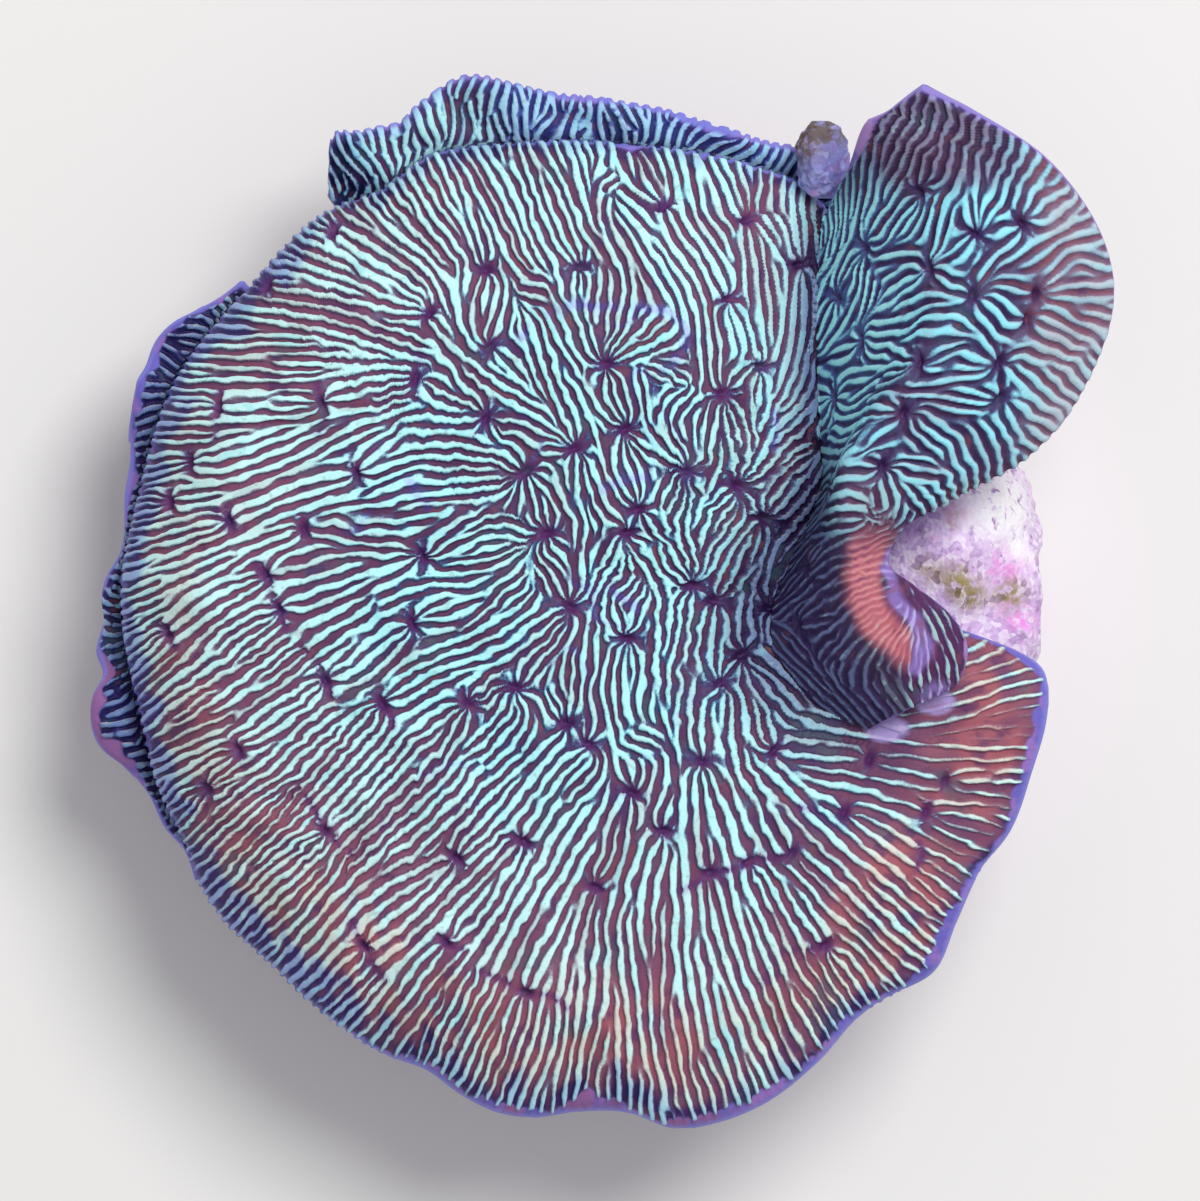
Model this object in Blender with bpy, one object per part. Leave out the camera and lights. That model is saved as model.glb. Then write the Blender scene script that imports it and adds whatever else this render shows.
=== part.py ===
"""Pavona coral: a plating colony that has overgrown a small stone.

One domed plate covers the stone. A folded side lobe stands on the plate's right side, two narrow
tiers grow out from under its rear and left margins, and a stone nodule is wedged in the notch between
plate and lobe. The stone is cut flat below. Metres, +Z up; the origin is on the stone's flat cut.
Shapes are worked out in millimetres and scaled when a mesh is made.
"""

import math

import bmesh
import bpy
import numpy as np
from mathutils import Vector, noise

MM = 0.001
GAP = 0.3                       # clearance between neighbouring solids
FACET_ROOM = 0.38               # more of it where the lobe spans the ribs of the plate

# --- Main plate: plan around its growth centre, heights above the stone's flat cut
PLATE_CENTRE = (-1.9, 0.0)
PLATE_TOP = 17.0                # top of the dome
DOME_DROP = 2.2                 # how far the dome falls from centre to margin
PLATE_EDGE_THICKNESS = 1.1
PLATE_CENTRE_THICKNESS = 3.0
ROLL_START = 0.76               # share of the radius where the margin starts to roll down
PLATE_OUTLINE = [               # (direction in degrees, radius)
    (0, 14.6), (10, 14.2), (20, 14.6), (30, 15.9), (40, 18.0), (48, 20.6), (55, 22.6), (60, 23.1),
    (66, 22.8), (80, 22.2), (98, 22.1), (106, 22.3), (114, 21.5), (120, 21.8), (135, 21.2),
    (150, 21.3), (165, 20.9), (180, 21.1), (195, 20.9), (205, 21.3), (213, 21.5), (218, 22.0),
    (224, 22.3), (231, 22.3), (240, 22.8), (249, 23.3), (254, 23.3), (259, 24.1), (263, 24.6),
    (267, 24.7), (272, 24.4), (278, 24.7), (282, 25.7), (287, 26.0), (292, 25.9), (299, 25.2),
    (306, 24.4), (311, 24.7), (315, 25.1), (321, 24.3), (327, 23.8), (333, 24.1), (340, 23.9),
    (347, 23.8), (350, 23.6), (353, 22.6), (355.5, 19.6), (358, 16.2),
]
MARGIN_ROLL = [                 # (direction, how far the margin rolls down)
    (10, 0.0), (45, 0.6), (65, 2.4), (100, 3.0), (140, 3.5), (185, 3.5), (225, 3.1), (255, 2.0),
    (280, 1.3), (305, 1.1), (330, 0.8), (350, 0.5),
]
RUFFLES = 17                    # waves round the margin
RUFFLE_HEIGHT = 0.28
SWELLS = [                      # low mounds and hollows of the crown: (x, y, height, radius)
    (0.5, 12.0, 0.55, 3.6), (-5.0, 4.5, -0.35, 3.2), (1.5, 0.5, -0.45, 3.0),
    (-9.0, -7.0, 0.35, 4.5), (3.5, -9.5, 0.4, 4.0), (-11.0, 8.0, 0.3, 4.5), (8.0, 3.0, 0.5, 2.4),
]
RIBS = 60                       # coarse ribs that stand for the fine radial ridges
RIB_HEIGHT = 0.46               # at the margin, where they are widest
RIB_ZONE = (0.12, 0.99)         # shares of the radius between which the ribs stand
RIB_FADE = (0.2, 0.06)          # over which share they rise at the inner end and end at the rim
PIT_DEPTH = 0.6                 # calices are pits among the ribs
PIT_STEP = 7                    # ribs from one calice to the next in a row
PIT_SHIFT = 3                   # ribs by which each row is turned against the one inside it
TOP_RINGS = [0.10, 0.20, 0.30, 0.40, 0.50, 0.59, 0.68, 0.76, 0.83, 0.89, 0.94, 0.98]
UNDER_RINGS = [0.97, 0.88, 0.78, 0.68, 0.58, 0.45, 0.25]

# --- Side lobe: stations from the notch at the rear down to the tip of its curl
LOBE_ROOT = [                   # (x, y) where the lobe stands on the plate, along the valley
    (10.8, 18.6), (10.5, 17.1), (10.4, 14.7), (10.4, 12.1), (10.5, 9.5), (10.6, 7.6), (10.7, 5.9),
    (10.1, 4.0), (9.2, 2.3), (8.5, 0.5), (8.1, -1.4), (8.6, -3.2), (9.8, -4.6), (11.4, -5.6),
    (13.1, -6.2),
]
LOBE_CREST = [                  # (x, y, z) of the fold's top
    (12.3, 22.5, 18.3), (14.8, 20.9, 19.6), (16.6, 19.0, 20.5), (16.6, 15.7, 20.7),
    (15.7, 12.1, 20.4), (13.5, 9.0, 19.8), (11.9, 6.5, 19.2), (11.6, 4.5, 19.0), (11.5, 2.9, 18.8),
    (11.6, 1.3, 18.6), (12.0, -0.2, 18.4), (12.6, -1.9, 18.1), (13.3, -3.2, 17.6),
    (13.9, -4.4, 17.0), (14.4, -5.5, 16.3),
]
LOBE_MARGIN = [                 # (x, y, z) of the lobe's growing edge
    (15.0, 24.1, 19.6), (17.5, 23.0, 20.1), (21.1, 20.8, 20.0), (23.7, 17.4, 19.0),
    (24.4, 13.8, 17.9), (22.9, 9.7, 17.1), (20.5, 6.8, 16.8), (17.3, 5.0, 16.8), (14.6, 3.4, 17.0),
    (13.9, 1.8, 16.9), (15.1, 0.8, 16.6), (16.8, -0.6, 16.2), (17.6, -2.2, 16.0),
    (17.2, -3.8, 15.9), (16.0, -4.6, 15.7),
]
LOBE_THICKNESS = 1.1
LOBE_STEPS = 50                 # along the lobe; ribs stand on every second step
LOBE_BANDS = 9                  # from root to margin
LOBE_RIB_HEIGHT = 0.2
LOBE_PIT_DEPTH = 0.3
LOBE_PIT_STEP = 8               # steps along the lobe from one calice to the next
LOBE_PIT_SHIFT = 2              # steps by which each band's calices are set on
LOBE_OVER_PLATE = 1.06          # share of the plate's radius within which the lobe is above it
WALL_BULGE = 0.66               # share of the wall's rise reached half way to the crest
OUTER_SAG = 0.34                # share of the fall to the margin reached half way from the crest

# --- Valley between plate and lobe
VALLEY_DEPTH = [1.6, 2.3, 2.7, 2.9, 3.0, 2.9, 2.6, 2.2, 1.7, 1.0]   # from the notch to the tip
VALLEY_SAMPLES = 90             # points along its line
VALLEY_WIDTH = 3.0
VALLEY_WIDTH_UNDER = 4.2        # it is wider and softer on the underside

# --- Tiers under the plate's margin: (direction, reach beyond the plate)
REAR_REACH = [
    (55, 0.5), (58, 1.6), (62, 1.3), (66, 1.2), (72, 1.2), (80, 1.8), (90, 2.0), (96, 2.8),
    (101, 3.1), (105, 2.4), (108.5, 1.9), (112, 2.6), (117, 2.8), (120, 0.5),
]
LEFT_REACH = [
    (135, 0.4), (141, 1.1), (147, 1.8), (150, 1.5), (153, 1.6), (158, 1.3), (162, 0.7), (168, 0.5),
    (174, 0.3), (178, 0.7), (180, 1.0), (183, 1.0), (186, 1.3), (189, 1.2), (191.5, 2.1),
    (195, 2.5), (198, 2.2), (201, 1.4), (205, 0.7), (210, 0.6), (213.5, 0.2), (217.5, 0.15),
]
TIER_TUCK = 4.2                 # how far a tier runs in under the plate
TIER_THICKNESS = 0.9
TIER_CLEARANCE = 0.08           # room for the flat facets, on top of the gap
TIER_BANDS_UNDER = 2
TIER_BANDS_OUT = 3
TIER_STEP = 2.0                 # degrees from one rib to the hollow beside it
TIER_RIB_HEIGHT = 0.12
REAR_RISE = 0.55                # rise per millimetre beyond the plate's margin
LEFT_RISE = 0.05
TIER_RUFFLE = 0.25              # height of the waves along a tier's margin
TIER_WAVE = (1.3, 1.1)          # their phase in radians for each millimetre along x and y

# --- Stone and nodule
STONE_CENTRE = (4.8, 0.4, 5.2)
STONE_RADII = (16.6, 14.2, 10.5)
STONE_SQUARENESS = 0.6          # below 1, its shoulders are squarer than a ball's
STONE_CLEARANCE = 0.42          # room for the flat facets, on top of the gap
STONE_LUMP = 1.5                # height of its lumps
STONE_LUMP_SIZE = 4.2
STONE_SHOULDER = 12.2           # height of its top outside the plate
STONE_OUTSIDE = (1.06, 1.18)    # shares of the plate's radius over which it rises to this height
SHOULDER_LUMP = 0.5
SHOULDER_LUMP_SIZE = 3.0
NODULE_PLACE = (10.6, 21.0)
NODULE_RADII = (1.4, 1.8, 1.5)
NODULE_LUMP = 0.22
NODULE_LUMP_SIZE = 1.1

LOOKS = {                       # colour and roughness of each piece
    "main_plate": ((0.30, 0.76, 0.74), 0.5),
    "side_lobe": ((0.26, 0.66, 0.68), 0.5),
    "rear_tier": ((0.24, 0.40, 0.60), 0.55),
    "left_tier": ((0.24, 0.40, 0.60), 0.55),
    "base_stone": ((0.72, 0.58, 0.80), 0.8),
    "notch_nodule": ((0.38, 0.36, 0.55), 0.85),
}
SHARP_ANGLE = math.radians(50)  # edges sharper than this are drawn as creases


def smooth(value):
    """Ease from 0 to 1 as value goes from 0 to 1."""
    value = np.clip(value, 0.0, 1.0)
    return value * value * (3.0 - 2.0 * value)


def around(table, degrees):
    """A smooth closed curve through (direction, value) pairs, read at directions in degrees."""
    angles = np.array([row[0] for row in table], float)
    values = np.array([row[1] for row in table], float)
    angles = np.concatenate([angles[-2:] - 360, angles, angles[:2] + 360])
    values = np.concatenate([values[-2:], values, values[:2]])
    slopes = np.gradient(values, angles)
    degrees = np.mod(np.asarray(degrees, float) - angles[1], 360) + angles[1]
    after = np.clip(np.searchsorted(angles, degrees, side="right"), 1, len(angles) - 1)
    span = angles[after] - angles[after - 1]
    t = (degrees - angles[after - 1]) / span
    start = values[after - 1] * (1 + 2 * t) * (1 - t) ** 2 + slopes[after - 1] * span * t * (1 - t) ** 2
    end = values[after] * t * t * (3 - 2 * t) + slopes[after] * span * t * t * (t - 1)
    return start + end


def along(points, shares):
    """A smooth open curve through points, read at shares of its length from 0 to 1."""
    points = np.asarray(points, float)
    points = points.reshape(len(points), -1)
    padded = np.vstack([2 * points[0] - points[1], points, 2 * points[-1] - points[-2]])
    place = np.clip(np.asarray(shares, float), 0, 1) * (len(points) - 1)
    first = np.minimum(place.astype(int), len(points) - 2)
    t = (place - first)[:, None]
    a, b, c, d = (padded[first + k] for k in range(4))
    return 0.5 * (2 * b + (c - a) * t + (2 * a - 5 * b + 4 * c - d) * t**2 + (3 * b - a - 3 * c + d) * t**3)


def plate_polar(x, y):
    """Share of the plate's radius and direction in degrees of points in plan."""
    dx = np.asarray(x, float) - PLATE_CENTRE[0]
    dy = np.asarray(y, float) - PLATE_CENTRE[1]
    degrees = np.degrees(np.arctan2(dy, dx))
    return np.hypot(dx, dy) / around(PLATE_OUTLINE, degrees), degrees


def plate_plan(share, degrees):
    """Points in plan at a share of the plate's radius."""
    radius = around(PLATE_OUTLINE, degrees) * share
    radians = np.radians(degrees)
    return PLATE_CENTRE[0] + radius * np.cos(radians), PLATE_CENTRE[1] + radius * np.sin(radians)


def valley(x, y, width):
    """Depth of the valley that runs along the foot of the side lobe."""
    shares = np.linspace(0, 1, VALLEY_SAMPLES)
    line = along(LOBE_ROOT, shares)
    depths = along(VALLEY_DEPTH, shares)[:, 0]
    x, y = (np.asarray(v, float)[..., None] for v in (x, y))
    squared = (x - line[:, 0]) ** 2 + (y - line[:, 1]) ** 2
    return np.exp(-squared.min(-1) / width**2) * depths[squared.argmin(-1)]


def plate_dome(x, y):
    """Height of the plain dome with its rolled and ruffled margin, and the share of the radius."""
    share, degrees = plate_polar(x, y)
    share = np.minimum(share, 1.0)
    roll = np.clip((share - ROLL_START) / (1 - ROLL_START), 0, 1)
    ruffle = RUFFLE_HEIGHT * roll * np.sin(np.radians(degrees) * RUFFLES)
    return PLATE_TOP - DOME_DROP * share**2 - around(MARGIN_ROLL, degrees) * roll**2 + ruffle, share


def plate_top(x, y):
    """Height of the plate's top surface, without its ribs."""
    height = plate_dome(x, y)[0] - valley(x, y, VALLEY_WIDTH)
    for centre_x, centre_y, rise, radius in SWELLS:
        height = height + rise * np.exp(-((x - centre_x) ** 2 + (y - centre_y) ** 2) / radius**2)
    return height


def plate_under(x, y):
    """Height of the plate's underside."""
    height, share = plate_dome(x, y)
    bulk = (PLATE_CENTRE_THICKNESS - PLATE_EDGE_THICKNESS) * (1 - share**2) ** 1.5
    return height - valley(x, y, VALLEY_WIDTH_UNDER) - PLATE_EDGE_THICKNESS - bulk


def plate_relief(ring, share, degrees):
    """Height that ribs and calices add to a ring of the plate's top."""
    rib, between = divmod(round(degrees * RIBS / 180), 2)
    rise = smooth((share - RIB_ZONE[0]) / RIB_FADE[0])
    zone = float(rise * smooth((RIB_ZONE[1] - share) / RIB_FADE[1]))
    if ring % 2 and between and (rib + ring * PIT_SHIFT) % PIT_STEP == 0:
        return -PIT_DEPTH * share * zone
    return RIB_HEIGHT * share * zone * (-1 if between else 1)


def new_object(name, mesh_data):
    """Links a closed mesh, in millimetres, into the coral's collection with its own material."""
    colour, roughness = LOOKS[name]
    mesh = bpy.data.meshes.new(name)
    bmesh.ops.recalc_face_normals(mesh_data, faces=mesh_data.faces)
    bmesh.ops.scale(mesh_data, vec=(MM, MM, MM), verts=mesh_data.verts)
    mesh_data.to_mesh(mesh)
    mesh_data.free()
    mesh.shade_smooth()
    mesh.set_sharp_from_angle(angle=SHARP_ANGLE)
    material = bpy.data.materials.new(name)
    material.use_nodes = True
    surface = material.node_tree.nodes["Principled BSDF"]
    surface.inputs["Base Color"].default_value = (*colour, 1.0)
    surface.inputs["Roughness"].default_value = roughness
    surface.inputs["Metallic"].default_value = 0.0
    mesh.materials.append(material)
    made = bpy.data.objects.new(name, mesh)
    bpy.data.collections["pavona_coral"].objects.link(made)
    return made


def lay_sheet(columns, rows):
    """A flat grid whose vertices can be looked up as [row][column]."""
    mesh_data = bmesh.new()
    bmesh.ops.create_grid(mesh_data, x_segments=columns, y_segments=rows, size=1.0)
    ordered = sorted(mesh_data.verts, key=lambda v: (round(v.co.y, 5), round(v.co.x, 5)))
    width = columns + 1
    return mesh_data, [ordered[start:start + width] for start in range(0, len(ordered), width)]


def thicken(mesh_data, thickness):
    """Closes an open sheet into a solid that hangs below it."""
    if sum(face.normal.z for face in mesh_data.faces) < 0:
        bmesh.ops.reverse_faces(mesh_data, faces=mesh_data.faces)
    bmesh.ops.solidify(mesh_data, geom=mesh_data.faces[:], thickness=thickness)


def build_plate():
    """The main plate: a sphere's rings laid out over its top, round its rim and under it."""
    shares = [0.0, *TOP_RINGS, 1.0, *UNDER_RINGS, 0.0]
    rim = len(TOP_RINGS) + 1
    last = len(shares) - 1
    mesh_data = bmesh.new()
    bmesh.ops.create_uvsphere(mesh_data, u_segments=2 * RIBS, v_segments=last, radius=1.0)
    for vertex in mesh_data.verts:
        ring = round(math.acos(max(-1.0, min(1.0, vertex.co.z))) / math.pi * last)
        degrees = math.degrees(math.atan2(vertex.co.y, vertex.co.x))
        x, y = plate_plan(shares[ring], degrees)
        top, under = float(plate_top(x, y)), float(plate_under(x, y))
        if ring < rim:
            z = top + plate_relief(ring, shares[ring], degrees)
        elif ring == rim:
            z = (top + under) / 2
        else:
            z = under
        vertex.co = (x, y, z)
    return new_object("main_plate", mesh_data)


def lobe_section(root, crest, margin):
    """Control points of the lobe's section at one station, from root to growing edge."""
    wall = (root + crest) / 2
    wall[2] = root[2] + WALL_BULGE * (crest[2] - root[2])
    outer = (crest + margin) / 2
    outer[2] = crest[2] + OUTER_SAG * (margin[2] - crest[2])
    return [root, wall, crest, outer, margin]


def build_lobe():
    """The side lobe: a sheet lofted over its stations, thickened, standing on the plate."""
    stations = np.linspace(0, 1, LOBE_STEPS + 1)
    bands = np.linspace(0, 1, LOBE_BANDS + 1)
    roots, crests, margins = (along(line, stations) for line in (LOBE_ROOT, LOBE_CREST, LOBE_MARGIN))
    mesh_data, grid = lay_sheet(LOBE_STEPS, LOBE_BANDS)
    for step in range(LOBE_STEPS + 1):
        floor = plate_top(*roots[step]) + GAP
        section = lobe_section(np.array([*roots[step], floor]), crests[step], margins[step])
        rib = LOBE_RIB_HEIGHT * (1 if step % 2 else -1)
        for band, place in enumerate(along(section, bands)):
            relief = rib * math.sin(math.pi * bands[band])
            pitted = band % 2 and (step + band * LOBE_PIT_SHIFT) % LOBE_PIT_STEP == 0
            if pitted and 0 < band < LOBE_BANDS:
                relief = -LOBE_PIT_DEPTH
            grid[band][step].co = Vector(place) + Vector((0, 0, relief))
    mesh_data.normal_update()
    thicken(mesh_data, LOBE_THICKNESS)
    for vertex in mesh_data.verts:
        x, y, z = vertex.co
        if plate_polar(x, y)[0] < LOBE_OVER_PLATE:
            vertex.co.z = max(z, float(plate_top(x, y)) + GAP + FACET_ROOM)
    return new_object("side_lobe", mesh_data)


def tier_top(x, y, rise):
    """Height of a tier's top: close under the plate, and rising or level beyond its margin."""
    share = float(plate_polar(x, y)[0])
    radius = math.hypot(x - PLATE_CENTRE[0], y - PLATE_CENTRE[1])
    beyond = max(radius - radius / share, 0.0)
    wave = TIER_RUFFLE * math.sin(TIER_WAVE[0] * x + TIER_WAVE[1] * y) * min(beyond, 1.0)
    return float(plate_under(x, y)) - GAP - TIER_CLEARANCE + rise * beyond + wave


def build_tier(name, reach, rise):
    """A tier: tucked up against the plate's underside, then out beyond the plate's margin."""
    first, last = reach[0][0], reach[-1][0]
    steps = round((last - first) / TIER_STEP)
    mesh_data, grid = lay_sheet(steps, TIER_BANDS_UNDER + TIER_BANDS_OUT)
    for step in range(steps + 1):
        degrees = first + step * (last - first) / steps
        margin = float(around(PLATE_OUTLINE, degrees))
        beyond = float(around(reach, degrees))
        radii = [margin - TIER_TUCK * (1 - k / TIER_BANDS_UNDER) for k in range(TIER_BANDS_UNDER)]
        radii += [margin + beyond * k / TIER_BANDS_OUT for k in range(TIER_BANDS_OUT + 1)]
        rib = TIER_RIB_HEIGHT * (1 if step % 2 else -1)
        for band, radius in enumerate(radii):
            x, y = plate_plan(radius / margin, degrees)
            relief = rib if band > TIER_BANDS_UNDER else 0.0
            grid[band][step].co = (x, y, tier_top(x, y, rise) + relief)
    mesh_data.normal_update()
    thicken(mesh_data, TIER_THICKNESS)
    return new_object(name, mesh_data)


def lumpy_ball(subdivisions, centre, radii, squareness, lump, lump_size):
    """A ball stretched to three radii, with squarer shoulders and noise lumps."""
    mesh_data = bmesh.new()
    bmesh.ops.create_icosphere(mesh_data, subdivisions=subdivisions, radius=1.0)
    for vertex in mesh_data.verts:
        out = vertex.co.normalized()
        widen = math.hypot(out.x, out.y) ** (squareness - 1) if abs(out.z) < 0.999 else 0.0
        spread = (radii[0] * out.x * widen, radii[1] * out.y * widen, radii[2] * out.z)
        place = Vector(centre) + Vector(spread)
        vertex.co = place + out * lump * noise.noise(place / lump_size)
    return mesh_data


def build_stone():
    """The stone: lumpy, fitted under the plate, and cut flat below."""
    mesh_data = lumpy_ball(
        4, STONE_CENTRE, STONE_RADII, STONE_SQUARENESS, STONE_LUMP, STONE_LUMP_SIZE
    )
    for vertex in mesh_data.verts:
        x, y, z = vertex.co
        past_edge = plate_polar(x, y)[0] - STONE_OUTSIDE[0]
        outside = float(smooth(past_edge / (STONE_OUTSIDE[1] - STONE_OUTSIDE[0])))
        under = float(plate_under(x, y)) - GAP - STONE_CLEARANCE
        lump = SHOULDER_LUMP * noise.noise(Vector((x, y, 0.0)) / SHOULDER_LUMP_SIZE)
        shoulder = STONE_SHOULDER + lump
        vertex.co.z = min(z, under + outside * max(shoulder - under, 0.0))
    cut = bmesh.ops.bisect_plane(
        mesh_data, geom=[*mesh_data.verts, *mesh_data.edges, *mesh_data.faces],
        plane_co=(0, 0, 0), plane_no=(0, 0, 1), clear_inner=True, dist=1e-4,
    )
    rim = [item for item in cut["geom_cut"] if isinstance(item, bmesh.types.BMEdge)]
    bmesh.ops.holes_fill(mesh_data, edges=rim, sides=0)
    return new_object("base_stone", mesh_data)


def build_nodule():
    """The nodule wedged in the notch, resting on the end of the rear tier."""
    floor = tier_top(*NODULE_PLACE, REAR_RISE) + TIER_RIB_HEIGHT + GAP
    centre = (*NODULE_PLACE, floor + NODULE_RADII[2])
    mesh_data = lumpy_ball(3, centre, NODULE_RADII, 1.0, NODULE_LUMP, NODULE_LUMP_SIZE)
    return new_object("notch_nodule", mesh_data)


def main():
    for old in list(bpy.data.objects):
        bpy.data.objects.remove(old)
    collection = bpy.data.collections.new("pavona_coral")
    bpy.context.scene.collection.children.link(collection)
    build_plate()
    build_lobe()
    build_tier("rear_tier", REAR_REACH, REAR_RISE)
    build_tier("left_tier", LEFT_REACH, LEFT_RISE)
    build_stone()
    build_nodule()


main()
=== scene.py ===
"""Looks of a pavona coral: a plating colony with a raised side lobe, grown over a small stone.

The ridges (septo-costae) are grown here as a pattern that runs from calice to calice and out to the
margin, and they are real relief on every surface. Shapes are worked out in millimetres, in the same
frame as the solids, and scaled when a mesh is made.
"""

import math

import bmesh
import bpy
import numpy as np
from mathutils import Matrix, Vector, noise


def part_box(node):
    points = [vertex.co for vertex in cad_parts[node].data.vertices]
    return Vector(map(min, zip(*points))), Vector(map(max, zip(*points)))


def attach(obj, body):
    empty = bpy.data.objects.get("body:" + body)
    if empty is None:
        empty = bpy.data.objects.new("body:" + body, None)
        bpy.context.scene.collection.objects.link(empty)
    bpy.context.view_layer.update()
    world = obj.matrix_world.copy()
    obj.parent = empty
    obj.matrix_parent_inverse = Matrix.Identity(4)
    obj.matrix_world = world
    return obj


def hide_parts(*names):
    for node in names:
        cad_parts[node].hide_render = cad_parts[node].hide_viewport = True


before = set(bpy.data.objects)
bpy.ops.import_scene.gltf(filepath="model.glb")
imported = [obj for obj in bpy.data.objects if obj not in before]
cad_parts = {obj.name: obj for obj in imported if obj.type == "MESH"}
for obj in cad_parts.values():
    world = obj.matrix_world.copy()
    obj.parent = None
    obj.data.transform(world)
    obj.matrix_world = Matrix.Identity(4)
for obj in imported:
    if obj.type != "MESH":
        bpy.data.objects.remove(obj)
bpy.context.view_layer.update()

MM = 0.001

# ---------------------------------------------------------------- form, the same as the solids'
PLATE_CENTRE = (-1.9, 0.0)
PLATE_TOP = 17.0
DOME_DROP = 2.2
PLATE_EDGE_THICKNESS = 1.1
PLATE_CENTRE_THICKNESS = 3.0
ROLL_START = 0.76
PLATE_OUTLINE = [               # (direction in degrees, radius)
    (0, 14.6), (10, 14.2), (20, 14.6), (30, 15.9), (40, 18.0), (48, 20.6), (55, 22.6), (60, 23.1),
    (66, 22.8), (80, 22.2), (98, 22.1), (106, 22.3), (114, 21.5), (120, 21.8), (135, 21.2),
    (150, 21.3), (165, 20.9), (180, 21.1), (195, 20.9), (205, 21.3), (213, 21.5), (218, 22.0),
    (224, 22.3), (231, 22.3), (240, 22.8), (249, 23.3), (254, 23.3), (259, 24.1), (263, 24.6),
    (267, 24.7), (272, 24.4), (278, 24.7), (282, 25.7), (287, 26.0), (292, 25.9), (299, 25.2),
    (306, 24.4), (311, 24.7), (315, 25.1), (321, 24.3), (327, 23.8), (333, 24.1), (340, 23.9),
    (347, 23.8), (350, 23.6), (353, 22.6), (355.5, 19.6), (358, 16.2),
]
MARGIN_ROLL = [                 # (direction, how far the margin rolls down)
    (10, 0.0), (45, 0.6), (65, 2.4), (100, 3.0), (140, 3.5), (185, 3.5), (225, 3.1), (255, 2.0),
    (280, 1.3), (305, 1.1), (330, 0.8), (350, 0.5),
]
RUFFLES = 17
RUFFLE_HEIGHT = 0.28
SWELLS = [                      # low mounds and hollows of the crown: (x, y, height, radius)
    (0.5, 12.0, 0.55, 3.6), (-5.0, 4.5, -0.35, 3.2), (1.5, 0.5, -0.45, 3.0),
    (-9.0, -7.0, 0.35, 4.5), (3.5, -9.5, 0.4, 4.0), (-11.0, 8.0, 0.3, 4.5), (8.0, 3.0, 0.5, 2.4),
]
LOBE_ROOT = [                   # (x, y) where the lobe stands on the plate, along the valley
    (10.8, 18.6), (10.5, 17.1), (10.4, 14.7), (10.4, 12.1), (10.5, 9.5), (10.6, 7.6), (10.7, 5.9),
    (10.1, 4.0), (9.2, 2.3), (8.5, 0.5), (8.1, -1.4), (8.6, -3.2), (9.8, -4.6), (11.4, -5.6),
    (13.1, -6.2),
]
LOBE_CREST = [                  # (x, y, z) of the fold's top
    (12.3, 22.5, 18.3), (14.8, 20.9, 19.6), (16.6, 19.0, 20.5), (16.6, 15.7, 20.7),
    (15.7, 12.1, 20.4), (13.5, 9.0, 19.8), (11.9, 6.5, 19.2), (11.6, 4.5, 19.0), (11.5, 2.9, 18.8),
    (11.6, 1.3, 18.6), (12.0, -0.2, 18.4), (12.6, -1.9, 18.1), (13.3, -3.2, 17.6),
    (13.9, -4.4, 17.0), (14.4, -5.5, 16.3),
]
LOBE_MARGIN = [                 # (x, y, z) of the lobe's growing edge
    (15.0, 24.1, 19.6), (17.5, 23.0, 20.1), (21.1, 20.8, 20.0), (23.7, 17.4, 19.0),
    (24.4, 13.8, 17.9), (22.9, 9.7, 17.1), (20.5, 6.8, 16.8), (17.3, 5.0, 16.8), (14.6, 3.4, 17.0),
    (13.9, 1.8, 16.9), (15.1, 0.8, 16.6), (16.8, -0.6, 16.2), (17.6, -2.2, 16.0),
    (17.2, -3.8, 15.9), (16.0, -4.6, 15.7),
]
LOBE_THICKNESS = 1.1
WALL_BULGE = 0.66
OUTER_SAG = 0.34
VALLEY_DEPTH = [1.6, 2.3, 2.7, 2.9, 3.0, 2.9, 2.6, 2.2, 1.7, 1.0]     # along the lobe's root
VALLEY_WIDTH = 3.0
VALLEY_WIDTH_UNDER = 4.2
REAR_REACH = [                  # (direction, how far the tier looks out past the plate's margin)
    (55, 0.5), (58, 1.6), (62, 1.3), (66, 1.2), (72, 1.2), (80, 1.8), (90, 2.0), (96, 2.8),
    (101, 3.1), (105, 2.4), (108.5, 1.9), (112, 2.6), (117, 2.8), (120, 0.5),
]
LEFT_REACH = [
    (135, 0.4), (141, 1.1), (147, 1.8), (150, 1.5), (153, 1.6), (158, 1.3), (162, 0.7), (168, 0.5),
    (174, 0.3), (178, 0.7), (180, 1.0), (183, 1.0), (186, 1.3), (189, 1.2), (191.5, 2.1),
    (195, 2.5), (198, 2.2), (201, 1.4), (205, 0.7), (210, 0.6), (213.5, 0.2), (217.5, 0.15),
]
TIER_TUCK = 4.2
TIER_THICKNESS = 0.9
TIER_CLEARANCE = 0.38
REAR_RISE = 0.55
LEFT_RISE = 0.05
TIER_RUFFLE = 0.25
STONE_CENTRE = (4.8, 0.4, 5.2)
STONE_RADII = (16.6, 14.2, 10.5)
STONE_SQUARENESS = 0.6
STONE_LUMP = 1.5
STONE_LUMP_SIZE = 4.2
STONE_SHOULDER = 12.2
STONE_CLEARANCE = 0.3
NODULE_LUMP = 0.22
NODULE_LUMP_SIZE = 1.1

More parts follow.
